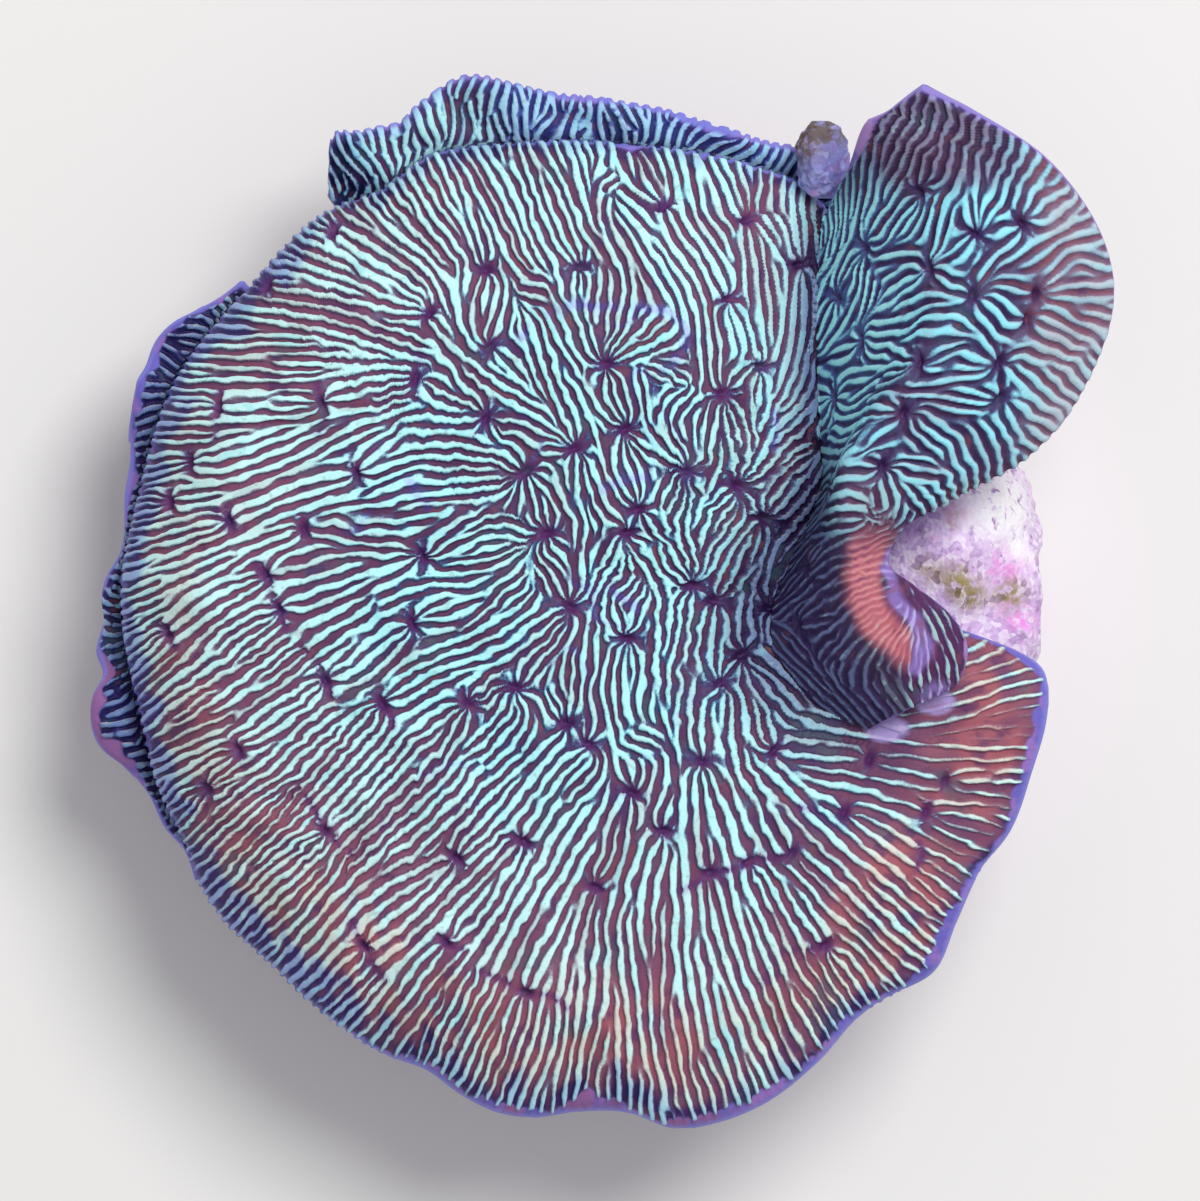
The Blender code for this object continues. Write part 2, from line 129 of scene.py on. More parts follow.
# ---------------------------------------------------------------- ridges and calices
PLATE_CALICES = [               # (x, y) of single calices
    (-5.4, 15.7), (-8.1, 13.6), (-0.9, 15.8), (-5.2, 12.0), (-8.7, 10.5), (-13.2, 9.4), (-18.1, 9.2),
    (-19.5, 6.6), (-5.4, 8.6), (-1.2, 7.2), (-3.5, 6.1), (-11.5, 6.0), (-17.6, 3.8), (-20.5, 4.7),
    (-8.4, 2.1), (-14.0, 3.4), (-2.5, 3.2), (-15.8, 1.2), (-12.7, 17.6), (-15.9, 15.0), (1.6, 21.7),
    (7.0, 18.1), (3.0, 18.7), (9.5, 16.0), (6.1, 14.3), (7.6, 11.1), (5.8, 9.8), (0.3, 11.2),
    (1.2, 8.1), (4.1, 6.1), (10.5, 7.4), (6.6, 5.4), (1.8, 4.3), (7.8, 3.9), (1.3, 3.2), (4.4, 0.7),
    (-20.6, -1.5), (-15.2, -0.4), (-13.0, -3.8), (-10.3, -4.9), (-8.9, -1.1), (-6.2, -4.9),
    (-4.0, -4.1), (-1.4, -0.3), (-1.6, -5.8), (-0.5, -6.8), (-18.7, -8.9), (-13.0, -10.9),
    (-6.8, -12.2), (-3.6, -11.4), (-0.2, -13.6), (-11.2, -16.4), (-7.3, -16.2), (-3.5, -18.6),
    (-17.2, -7.1), (1.3, -1.8), (1.5, -9.1), (3.0, -10.9), (4.8, -7.6), (5.7, -3.9), (8.3, -7.1),
    (6.7, -2.6), (11.6, -10.0), (12.8, -7.5), (15.5, -10.0), (5.2, -12.9), (9.1, -12.0), (7.0, -12.4),
    (16.4, -8.6), (10.7, -16.4), (5.4, 0.0), (8.1, -0.3),
]
LOBE_CALICES = [
    (15.0, 19.2), (12.6, 16.7), (15.5, 15.6), (17.5, 14.3), (20.5, 14.4), (20.1, 13.2), (19.8, 17.7),
    (17.6, 17.2), (12.4, 12.3), (15.0, 11.2), (18.8, 11.2), (18.8, 9.5), (14.3, 8.8), (13.3, 6.3),
    (11.3, 14.4), (11.2, 9.6), (10.9, 5.2), (9.8, 1.6), (9.4, -1.2),
]
CALICE_ROWS = [                 # rows of calices, (x, y) along each, which cross the ridges
    [(-13.4, 10.3), (-13.2, 9.4), (-13.0, 8.7), (-13.3, 8.0)],
    [(-18.0, 9.9), (-18.1, 9.1), (-18.1, 8.3), (-18.3, 7.7)],
    [(-19.5, 7.0), (-19.4, 6.4), (-19.2, 5.9)],
    [(-20.4, 5.2), (-20.4, 4.4)],
    [(-18.2, 4.2), (-17.6, 3.8), (-17.4, 3.3)],
    [(-14.1, 3.8), (-13.9, 3.2), (-14.6, 2.8)],
    [(-16.3, 1.7), (-15.8, 0.9), (-15.3, 0.1), (-15.1, -0.8), (-14.7, -1.6), (-13.8, -2.5), (-13.0, -3.5),
     (-12.8, -4.4)],
    [(-10.6, -4.4), (-10.1, -5.0), (-9.8, -6.0)],
    [(-20.6, -1.2), (-20.2, -2.2)],
    [(-13.9, -9.3), (-13.3, -10.3), (-12.7, -11.2), (-11.9, -11.9)],
    [(-11.7, -15.2), (-11.3, -16.3), (-10.8, -17.2), (-10.2, -17.9)],
    [(-7.7, -15.8), (-7.2, -16.3), (-6.6, -16.5)],
    [(-5.6, -17.6), (-4.4, -18.1), (-3.5, -18.6), (-2.4, -18.7), (-1.6, -19.3)],
    [(3.9, -13.7), (4.8, -13.2), (5.4, -12.9), (6.3, -12.7)],
    [(7.0, -12.4), (8.0, -12.2), (9.3, -12.2)],
    [(10.1, -16.5), (10.8, -16.1)],
    [(12.7, -6.8), (12.9, -7.7), (12.7, -8.5)],
    [(15.1, -11.4), (15.3, -12.1), (15.0, -12.7)],
    [(9.4, -9.8), (10.1, -10.0)],
    [(11.4, -9.2), (11.7, -10.2)],
    [(-8.5, 11.6), (-8.8, 10.5), (-8.7, 9.6)],
    [(-12.8, 17.9), (-12.6, 17.3)],
    [(-4.2, -11.2), (-3.4, -11.6)],
    [(4.2, -7.5), (5.2, -7.8)],
]
PLATE_STROKES = [               # (x, y, direction of the ridges there in degrees)
    (-20, 11.2, 0), (-16, 11.5, 178), (-12, 16, 150), (-12, 13.6, 168), (-16, 13.6, 172), (-16, 9, 8),
    (-16, 6.5, 22), (-12, 9.6, 20), (-12, 7.6, 32), (-20, 8, 0), (-20, 5.6, 5), (-16, 4, 25),
    (-20, 3, 20), (-20, 1, 28), (-16, -0.6, 36), (-12, 3.3, 172), (-12, 1.5, 18), (-12, -0.2, 24),
    (-12, -2, 36), (-12, -4, 28), (-20, -4, 38), (-18, -3, 40), (-16, -5.5, 30), (-18, -6.9, 20),
    (-14, -6, 36), (-16, -8, 38), (-18, -9.5, 40), (-14, -8, 46), (-12, -8, 46), (-10, -8, 46),
    (-10, -3, 42), (-16, -12, 43), (-18, -13, 44), (-14, -14, 45), (-14, -17, 45), (-11.6, -12.8, 48),
    (-9, -13, 28), (-12, -18.5, 46), (-9, -18.5, 54), (-8, -15, 46), (-8, -10.5, 46), (-5, -9.5, 44),
    (-2, -9, 50), (-6, -13.5, 48), (-4, -15.5, 60), (-4, -20.5, 72), (-2, -21.5, 78), (-6.5, -20.5, 62),
    (0, -18, 84), (0, -22, 90), (2, -18, 90), (4, -20, 102), (4, -16, 96), (6, -18, 108), (8, -20, 117),
    (8, -17.5, 118), (2, -11.5, 75), (0, -11, 66), (4, -10.5, 95), (6, -10, 112), (8, -10, 124),
    (10, -10.6, 134), (12, -12.5, 139), (12, -15.5, 134), (14, -12, 148), (14, -9, 162), (16, -8, 174),
    (18, -8.3, 178), (18, -6.8, 5), (17, -5, 24), (18, -10, 168), (17, -12.5, 155), (15, -15, 140),
    (10, -18, 125), (6, -5, 104), (8, -4.5, 138), (10, -7, 172), (11, -8, 165), (12, -8.6, 168),
    (8, -8, 132), (4, -8.6, 80), (2, -8.4, 72), (-10, 19, 130), (-8, 17, 133), (-8, 19.5, 122),
    (-6, 19, 120), (-4, 20, 118), (-2, 20, 112), (-1, 19, 105), (2, 20.5, 110), (4.5, 20.5, 112),
    (6, 20.8, 105), (8, 20, 82), (-10, 16.5, 142), (-10, 12.6, 160), (-10, 9.2, 8), (-10, 6.6, 10),
    (8.6, 12, 90), (8, -3, 128), (9, -4, 146), (-7.5, 16, 138), (-9, 15, 146), (-9.3, 13.2, 163),
    (-9.4, 11.6, 174), (-5.5, 16.8, 108), (-3, 16.7, 106), (-1.3, 16.9, 112), (-6, 14.8, 78),
    (-4.8, 14.6, 72), (-5.5, 13.5, 84), (-6.6, 13.6, 100), (-3.4, 15, 165), (-4, 15.7, 110),
    (-1, 14.8, 76), (0.1, 14.7, 82), (1.1, 14.6, 88), (-7.3, 12.8, 125), (-7, 11.2, 140), (-7.3, 10, 146),
    (-6.7, 9.2, 152), (-5, 10.6, 136), (-4, 9.8, 140), (-3.2, 11, 118), (-2.5, 12, 120), (-1.8, 13, 115),
    (-0.8, 13, 108), (0.2, 13, 94), (1, 12.9, 66), (1.8, 12, 42), (-4.6, 9.3, 150), (-3, 8.8, 140),
    (-2, 9.8, 130), (-1.2, 9.4, 126), (0.4, 10, 92), (1.4, 9.6, 105), (-0.2, 8.8, 122), (-9.4, 7.8, 45),
    (-8.4, 8.1, 12), (-7, 8, 170), (-5, 7.4, 154), (-4, 7.2, 147), (-8.6, 6.8, 20), (-7, 6.5, 8),
    (-5.8, 6.3, 2), (-7, 5.5, 12), (-5.8, 5, 18), (-4.7, 5, 32), (-3.9, 4.6, 70), (-3.2, 5, 96),
    (-2.3, 5.2, 112), (-2.5, 6.6, 150), (-1.3, 6, 100), (-0.3, 6.2, 96), (0.6, 6.8, 92), (1.5, 6.8, 110),
    (2.5, 7.3, 128), (3.3, 6.9, 125), (0.1, 18.6, 78), (0.5, 19.6, 40), (1.2, 19.4, 145),
    (1.4, 18.3, 130), (1.5, 17, 124), (0.4, 17, 116),
    (3, 17.3, 131), (4, 17, 131), (4.8, 18, 126), (2.2, 19.3, 130), (4.3, 19.3, 84), (5.1, 19.4, 114),
    (6, 19.4, 106), (7, 19.4, 96), (7.9, 19.3, 76), (5.7, 17.5, 142), (6.6, 16.8, 92), (7.3, 16.5, 90),
    (5.5, 16, 122), (4.6, 16, 130), (8.2, 17.6, 132), (8.9, 17.3, 112), (9.6, 17.3, 96), (8.4, 15.2, 96),
    (9.3, 14.6, 91), (8.5, 13.5, 95), (2.8, 15.2, 130), (3.6, 14.8, 118), (2.1, 14.6, 106),
    (2.5, 12.9, 40), (3.3, 12, 14), (3, 11, 160), (5, 12, 86), (6, 12, 95), (6.8, 12.6, 110),
    (7.2, 13.6, 104), (6, 13.4, 88), (5.1, 13.6, 84), (4.5, 14.8, 118), (6.6, 11, 36), (8.2, 11, 76),
    (7.6, 9.8, 60), (3.4, 9.6, 60), (4.2, 9.2, 62), (5, 9, 76), (6.6, 9.4, 104), (6.8, 8.4, 86),
    (5, 7.4, 82), (6, 7.5, 95), (4.8, 10.6, 100), (3.8, 10.6, 165), (3.4, 5.4, 60), (4.5, 5.2, 74),
    (5.4, 5.7, 60), (5, 4.3, 60), (6.2, 4.4, 52), (1.4, 5, 110), (0.2, 4.8, 118), (8.9, 7.6, 42),
    (8.6, 6.3, 62), (9.4, 5.8, 48), (8.2, 4.9, 64), (-6.6, 4, 18), (-6.8, 3, 18), (-6.4, 2.1, 14),
    (-5.8, 1.2, 16), (-6.8, 0.9, 168), (-5, 2.6, 26), (-4.3, 3.6, 152), (-4.3, 1.7, 30), (-3.5, 1.4, 60),
    (-2.6, 1.4, 124), (-1.9, 1.7, 124), (-0.9, 1.4, 96), (0, 1.3, 64), (-0.4, 2.4, 58), (-7.5, -0.2, 20),
    (-6, -0.4, 20), (-5, -0.4, 30), (-4, -0.9, 32), (-3, -1.2, 42), (-2.1, -1.7, 52), (-1.2, -1.7, 66),
    (-0.5, -1.6, 82), (0.4, -1, 122), (-6.5, -2, 26), (-5.5, -2.4, 40), (-4.4, -2.6, 46), (-3, -3, 52),
    (-2, -3.2, 64), (-1, -3.2, 71), (0, -3.3, 78), (1, -3.5, 86), (2.4, -3.4, 90), (3.5, -3.6, 90),
    (-8.2, -3, 30), (-7.1, -3.8, 36), (-8.4, -5.2, 40), (-7, -6, 44), (-5.2, -4, 54), (-4.8, -5.4, 46),
    (-3.6, -4.6, 94), (-2.6, -5, 108), (-1.6, -4.6, 90), (-0.7, -5, 86), (0.2, -5.2, 90), (1.2, -5.4, 95),
    (2, -6.6, 150), (-4, -7, 42), (-2.6, -7.4, 48), (-1.2, -7.8, 58), (2.6, 3, 118), (3.6, 3, 104),
    (5.3, 2.6, 74), (6.8, 3, 66), (2.6, 1.6, 128), (4, 1.6, 120), (5.6, 1, 66), (4, -0.6, 62),
    (3, -1.8, 74), (5, -2, 84), (6.8, 1.4, 58), (7.4, 2.4, 62), (9, 3, 50), (9.5, 0.5, 44), (5, -4, 90),
    (3.2, -5.2, 92), (7, -5.8, 118), (8, -1, 100), (1.2, 0.4, 40),
]
LOBE_STROKES = [                # the same for the side lobe, seen from above
    (12, 18.5, 88), (12.5, 20.5, 80), (14, 22.5, 76), (15, 22, 72), (16, 21.5, 67), (17, 21, 62),
    (18.5, 19.6, 72), (17, 19, 70), (16, 18.5, 72), (14, 18.3, 60), (19.5, 20.5, 82), (20, 19, 62),
    (21, 19.8, 60), (21, 18.3, 42), (22, 17.5, 29), (21.5, 16, 22), (23, 15.3, 16), (22.5, 14.3, 8),
    (23, 13.4, 172), (22.5, 12.5, 160), (21.5, 11.6, 162), (21.3, 10.5, 152), (20.5, 9, 140),
    (19.5, 8, 130), (18.5, 7, 118), (17.2, 7, 104), (16, 7.3, 125), (15.5, 8.2, 145), (17, 9.2, 176),
    (16.5, 11, 14), (16.5, 12.1, 14), (17.5, 12.9, 150), (15.6, 13.2, 46), (14.2, 13.7, 28), (14, 15.5, 10),
    (16.3, 14.7, 0), (19, 14.5, 0), (18.5, 13.5, 170), (18, 15.9, 47), (17, 17, 70), (19, 17.2, 40),
    (12.5, 14.5, 85), (11.4, 14.5, 66), (10.8, 12.5, 70), (11.5, 11.4, 25), (13.5, 11.5, 170),
    (13, 10.2, 0), (12.5, 8.4, 13), (12.5, 7.2, 18), (12.2, 5.9, 172), (13.4, 4.8, 112), (14.5, 5, 130),
    (15, 6.2, 160), (10.8, 8, 45), (10.8, 5.5, 42), (14, 4, 60), (13.2, 3.6, 30), (12.4, 2.8, 8),
    (12.2, 1.5, 4), (13.2, 1.4, 0), (12.4, 0.5, 15), (13.4, 0.6, 22), (12.8, -0.4, 30), (13.8, -0.4, 42),
    (13.4, -1.3, 48), (14.4, -1.2, 60), (14.1, -2, 62), (15, -2.4, 80), (14.4, 0.8, 110), (15, 0.2, 118),
    (15.8, -0.6, 120), (16.2, -1.6, 112), (16.9, -2.4, 118), (16.2, -3, 98), (15.6, -1.6, 100),
    (15.4, -3.6, 95), (9.4, 4.2, 55), (9.7, 2.2, 50), (10, 0.6, 42), (10.6, -1, 38), (11.2, -2.2, 50),
    (12.2, -3.2, 62), (13.2, -4.2, 120), (14.2, -4.8, 128), (11.2, 1.5, 26), (11.2, 0, 30),
    (11.8, -1.2, 42), (12.8, -2.4, 58), (9, -2.4, 130), (10, -3.8, 135), (11.6, -4.8, 138),
]
GROWTH_CENTRE = (-0.5, 1.9)     # the colony grew outwards from here
RIDGE_HEIGHT = 0.19
CALICE_DEPTH = 0.30
CALICE_RADIUS = 0.26
STEEPEST = 32.0                 # largest slope of a ridge value per millimetre
ROUNDS = 12     # passes that anneal the ridge pattern

STRONGEST = 1.8                 # limit of a ridge's strength, of which 1 is usual
STREAKS_WIDEN = 0.22            # how much a strong ridge is wider than a weak one
PLATE_WIDE, LOBE_WIDE, TIER_WIDE = 0.16, 0.22, 0.15     # how much wider ridges are than grooves
STAIN_SHAPE = 0.35              # how flat the ground round a calice is: lower is flatter
PIT_CUTS = 0.7                  # how far a calice's pit cuts into the ridges round it
MARGIN_NARROWS, MARGIN_BAND = 0.6, 0.8  # how much ridges narrow towards the margin, and over what width
STROKE_REACH = 0.5              # squared distance within which a stroke counts in full
CALICE_PULL = 0.5               # how strongly ridges turn to a calice, and
CALICE_REACH = 0.3              # the squared distance over which they do
KINK, FINE_KINK = (0.7, 0.045), (0.3, 0.02)     # (length, height) of a ridge's kinks
KNOT = 0.45                     # length of the knots where a ridge is thicker

PLATE_NET = 561                 # points across the plate's net, odd
PLATE_UNDERSIDE_NET = 121       # the same below
NET_PITCH = 0.08                # about how far apart the points of a net are
PLATE_SPACING, LOBE_SPACING, TIER_SPACING = 0.48, 0.58, 0.50    # usual distance between ridges
ROW_WIDENS, ROW_NARROWS = 0.13, 0.12    # what a row of calices adds inside it, and takes outside it
TUCKED = 0.3                    # share of a tier that lies under the plate
PLATE_MAP = 1040                # cells across the plate's ridge map
PLATE_MAP_HALF = 26.5           # half its width
LOBE_NET = (181, 421)           # points across and along the side lobe
LOBE_MAP = (360, 900)           # cells across and along its ridge map
LOBE_MAP_PITCH = 0.045          # about how far apart they are
TIER_NET = (56, 341)            # points from a tier's root to its margin, and along it
SCALLOP = 0.14                  # how far a thin margin draws in between two ridges
DRAWN_IN = 1.15 * SCALLOP       # how far the underside stays back there
PLATE_BRIM, THIN_BRIM = 0.16, 0.14      # width of the bright line along a margin
EDGE_ROUNDING = 0.5             # how far from a sheet's edge its rounding starts
LIT_SIDE = (0.6, 0.8, 0.0)      # the flank of a ridge facing this way gets a painted highlight, the other flank painted shade


def smooth(value):
    """Ease from 0 to 1 as value goes from 0 to 1."""
    value = np.clip(value, 0.0, 1.0)
    return value * value * (3.0 - 2.0 * value)


def window(value, start, end, fade):
    """1 between start and end, fading to 0 over a distance outside them."""
    return smooth((value - start) / fade + 1) * smooth((end - value) / fade + 1)


def blob(x, y, centre_x, centre_y, radius):
    """A soft round spot, 1 at its centre."""
    return np.exp(-((x - centre_x) ** 2 + (y - centre_y) ** 2) / (2 * radius**2))


def around(table, degrees):
    """A smooth closed curve through (direction, value) pairs, read at directions in degrees."""
    angles = np.array([row[0] for row in table], float)
    values = np.array([row[1] for row in table], float)
    angles = np.concatenate([angles[-2:] - 360, angles, angles[:2] + 360])
    values = np.concatenate([values[-2:], values, values[:2]])
    slopes = np.gradient(values, angles)
    degrees = np.mod(np.asarray(degrees, float) - angles[1], 360) + angles[1]
    after = np.clip(np.searchsorted(angles, degrees, side="right"), 1, len(angles) - 1)
    span = angles[after] - angles[after - 1]
    t = (degrees - angles[after - 1]) / span
    start = values[after - 1] * (1 + 2 * t) * (1 - t) ** 2 + slopes[after - 1] * span * t * (1 - t) ** 2
    end = values[after] * t * t * (3 - 2 * t) + slopes[after] * span * t * t * (t - 1)
    return start + end


def along(points, shares):
    """A smooth open curve through points, read at shares of its length from 0 to 1."""
    points = np.asarray(points, float)
    points = points.reshape(len(points), -1)
    padded = np.vstack([2 * points[0] - points[1], points, 2 * points[-1] - points[-2]])
    place = np.clip(np.asarray(shares, float), 0, 1) * (len(points) - 1)
    first = np.minimum(place.astype(int), len(points) - 2)
    t = (place - first)[:, None]
    a, b, c, d = (padded[first + k] for k in range(4))
    return 0.5 * (2 * b + (c - a) * t + (2 * a - 5 * b + 4 * c - d) * t**2 + (3 * b - a - 3 * c + d) * t**3)


def plate_polar(x, y):
    """Share of the plate's radius and direction in degrees of points in plan."""
    dx = np.asarray(x, float) - PLATE_CENTRE[0]
    dy = np.asarray(y, float) - PLATE_CENTRE[1]
    degrees = np.degrees(np.arctan2(dy, dx))
    return np.hypot(dx, dy) / around(PLATE_OUTLINE, degrees), degrees


def plate_plan(share, degrees):
    """Points in plan at a share of the plate's radius."""
    radius = around(PLATE_OUTLINE, degrees) * share
    radians = np.radians(degrees)
    return PLATE_CENTRE[0] + radius * np.cos(radians), PLATE_CENTRE[1] + radius * np.sin(radians)


def valley(x, y, width):
    """Depth of the valley along the foot of the side lobe."""
    shares = np.linspace(0, 1, 90)
    line = along(LOBE_ROOT, shares)
    depths = along(VALLEY_DEPTH, shares)[:, 0]
    nearest = np.full(np.shape(x), 1e9)
    deep = np.zeros(np.shape(x))
    for (line_x, line_y), depth in zip(line, depths):
        squared = (x - line_x) ** 2 + (y - line_y) ** 2
        closer = squared < nearest
        nearest = np.where(closer, squared, nearest)
        deep = np.where(closer, depth, deep)
    return np.exp(-nearest / width**2) * deep


def plate_dome(x, y):
    """Height of the plain dome with its rolled and ruffled margin, and the share of the radius."""
    share, degrees = plate_polar(x, y)
    share = np.minimum(share, 1.0)
    roll = np.clip((share - ROLL_START) / (1 - ROLL_START), 0, 1)
    ruffle = RUFFLE_HEIGHT * roll * np.sin(np.radians(degrees) * RUFFLES)
    return PLATE_TOP - DOME_DROP * share**2 - around(MARGIN_ROLL, degrees) * roll**2 + ruffle, share


def plate_top(x, y):
    """Height of the plate's top surface, without its ridges."""
    height = plate_dome(x, y)[0] - valley(x, y, VALLEY_WIDTH)
    for centre_x, centre_y, rise, radius in SWELLS:
        height = height + rise * np.exp(-((x - centre_x) ** 2 + (y - centre_y) ** 2) / radius**2)
    return height


def plate_under(x, y):
    """Height of the plate's underside."""
    height, share = plate_dome(x, y)
    bulk = (PLATE_CENTRE_THICKNESS - PLATE_EDGE_THICKNESS) * (1 - share**2) ** 1.5
    return height - valley(x, y, VALLEY_WIDTH_UNDER) - PLATE_EDGE_THICKNESS - bulk


def plate_skin(x, y, distance, below=False):
    """Height of the plate's top or underside, rounded at its margin."""
    top, under = plate_top(x, y), plate_under(x, y)
    middle = (top + under) / 2
    return middle + ((under if below else top) - middle) * edge_fall(distance)


def edge_fall(distance):
    """Share of the full thickness at a distance from a sheet's rounded edge."""
    return np.sqrt(np.clip(1 - (1 - np.clip(distance / EDGE_ROUNDING, 0, 1)) ** 2, 0, 1))


def lobe_sheet(across, length):
    """The side lobe's top as a net: rows from root to growing edge, columns from notch to tip."""
    stations = np.linspace(0, 1, length)
    root, crest, margin = (along(line, stations) for line in (LOBE_ROOT, LOBE_CREST, LOBE_MARGIN))
    root = np.column_stack([root, plate_top(root[:, 0], root[:, 1])])
    wall, outer = (root + crest) / 2, (crest + margin) / 2
    wall[:, 2] = root[:, 2] + WALL_BULGE * (crest[:, 2] - root[:, 2])
    outer[:, 2] = crest[:, 2] + OUTER_SAG * (margin[:, 2] - crest[:, 2])
    section = np.stack([root, wall, crest, outer, margin]).reshape(5, -1)
    return along(section, np.linspace(0, 1, across)).reshape(across, length, 3)


def tier_top(x, y, rise):
    """Height of a tier's top: close under the plate, and rising or level beyond its margin."""
    share = plate_polar(x, y)[0]
    radius = np.hypot(x - PLATE_CENTRE[0], y - PLATE_CENTRE[1])
    beyond = np.maximum(radius - radius / share, 0.0)
    wave = TIER_RUFFLE * np.sin(1.3 * x + 1.1 * y) * np.minimum(beyond, 1.0)
    return plate_under(x, y) - TIER_CLEARANCE + rise * beyond + wave


def unit(vectors):
    """Vectors of length 1."""
    return vectors / np.maximum(np.linalg.norm(vectors, axis=-1, keepdims=True), 1e-9)


def net_normals(points):
    """Normals of a net of points, facing up."""
    normal = unit(np.cross(np.gradient(points, axis=1), np.gradient(points, axis=0)))
    return np.where(normal[..., 2:].mean() < 0, -normal, normal)


def net_shares(size):
    """Shares from 0 to 1 down and across a net."""
    return np.meshgrid(np.linspace(0, 1, size[0]), np.linspace(0, 1, size[1]), indexing="ij")


def read(field, rows, columns):
    """A field read between its cells."""
    rows = np.clip(rows, 0, field.shape[0] - 1.001)
    columns = np.clip(columns, 0, field.shape[1] - 1.001)
    r, c = rows.astype(int), columns.astype(int)
    fr, fc = rows - r, columns - c
    if field.ndim > rows.ndim:
        fr, fc = fr[..., None], fc[..., None]
    low = field[r, c] * (1 - fc) + field[r, c + 1] * fc
    high = field[r + 1, c] * (1 - fc) + field[r + 1, c + 1] * fc
    return low * (1 - fr) + high * fr


def clouds(shape, size, seed):
    """Soft seeded noise of about unit strength, with blotches some cells across."""
    grid = np.random.default_rng(seed).standard_normal(shape)
    down, right = np.fft.fftfreq(shape[0])[:, None], np.fft.rfftfreq(shape[1])[None, :]
    soft = np.exp(-(down**2 + right**2) * (2 * np.pi * size / 2.5) ** 2 / 2)
    field = np.fft.irfft2(np.fft.rfft2(grid) * soft, s=shape)
    return field / field.std()


# ---------------------------------------------------------------- growing the ridges
def heading(x, y, strokes):
    """The ridges' direction in plan, as a unit vector, from strokes that each count most nearby."""
    double_x, double_y = 0.0, 0.0
    for stroke_x, stroke_y, degrees in strokes:
        weight = ((x - stroke_x) ** 2 + (y - stroke_y) ** 2 + STROKE_REACH) ** -2.0
        double_x = double_x + weight * math.cos(math.radians(2 * degrees))
        double_y = double_y + weight * math.sin(math.radians(2 * degrees))
    angle = 0.5 * np.arctan2(double_y, double_x)
    return level(np.cos(angle), np.sin(angle))


def on_sheet(points, plan):
    """Directions in plan, laid on a sheet."""
    step_u, step_v = np.gradient(points, axis=1), np.gradient(points, axis=0)
    area = step_u[..., 0] * step_v[..., 1] - step_u[..., 1] * step_v[..., 0]
    area = np.where(np.abs(area) < 1e-6, 1e-6, area)
    share_u = (plan[..., 0] * step_v[..., 1] - plan[..., 1] * step_v[..., 0]) / area
    share_v = (plan[..., 1] * step_u[..., 0] - plan[..., 0] * step_u[..., 1]) / area
    return unit(share_u[..., None] * step_u + share_v[..., None] * step_v)


def row_field(x, y):
    """Distance to the nearest row of calices, and how far outwards of it points lie."""
    nearest, side = np.full(x.shape, 9.0), np.zeros(x.shape)
    for row in CALICE_ROWS:
        for spot_x, spot_y in along(row, np.linspace(0, 1, 3 * len(row))):
            out_x, out_y = spot_x - GROWTH_CENTRE[0], spot_y - GROWTH_CENTRE[1]
            apart = np.hypot(x - spot_x, y - spot_y)
            out = ((x - spot_x) * out_x + (y - spot_y) * out_y) / math.hypot(out_x, out_y)
            closer = apart < nearest
            nearest, side = np.where(closer, apart, nearest), np.where(closer, out, side)
    return nearest, side


def steer(points, calices, outward, pull, spacing, wobble):
    """How the phase of the ridges changes from cell to cell of a net, along columns and rows.

    Near a calice the ridges point at it; elsewhere they follow the outward direction by its pull.
    Directions are added as double angles, because a ridge has no front or back.
    """
    step_u, step_v = np.gradient(points, axis=1), np.gradient(points, axis=0)
    normal = unit(np.cross(step_u, step_v))
    first = unit(step_u)
    second = np.cross(normal, first)
    flow_x, flow_y = (outward * first).sum(-1), (outward * second).sum(-1)
    length = flow_x**2 + flow_y**2 + 1e-9
    double_x = pull * (flow_x**2 - flow_y**2) / length
    double_y = pull * 2 * flow_x * flow_y / length
    for calice in calices:
        away = points - calice
        x, y = (away * first).sum(-1), (away * second).sum(-1)
        squared = x * x + y * y + 1e-6
        weight = (CALICE_PULL / (squared + CALICE_REACH)) ** 2
        double_x += weight * (x * x - y * y) / squared
        double_y += weight * 2 * x * y / squared
    angle = (0.5 * np.arctan2(double_y, double_x) + wobble)[..., None]
    across = np.cos(angle) * second - np.sin(angle) * first
    return (across * step_u).sum(-1) / spacing, (across * step_v).sum(-1) / spacing


DIRECTIONS = 16                         # directions that the wave filters cover
PERIODS = (6.5, 8.5, 11, 14.5, 19, 25, 33)      # their periods, in cells
PERIOD_SPREAD, SIDE_SPREAD = 0.26, 0.15         # how far a filter reaches past its period, and sideways
STREAK = (0.8, 110.0)                   # (width in ridges, length in cells) of the streaks of strength
SQUASH = 2.2                            # how hard each round pushes the ridges to full height
QUIETEST = 0.08                         # swing below which a ridge isn't raised any more
BORDER = 20                             # cells added round a map while it is filtered


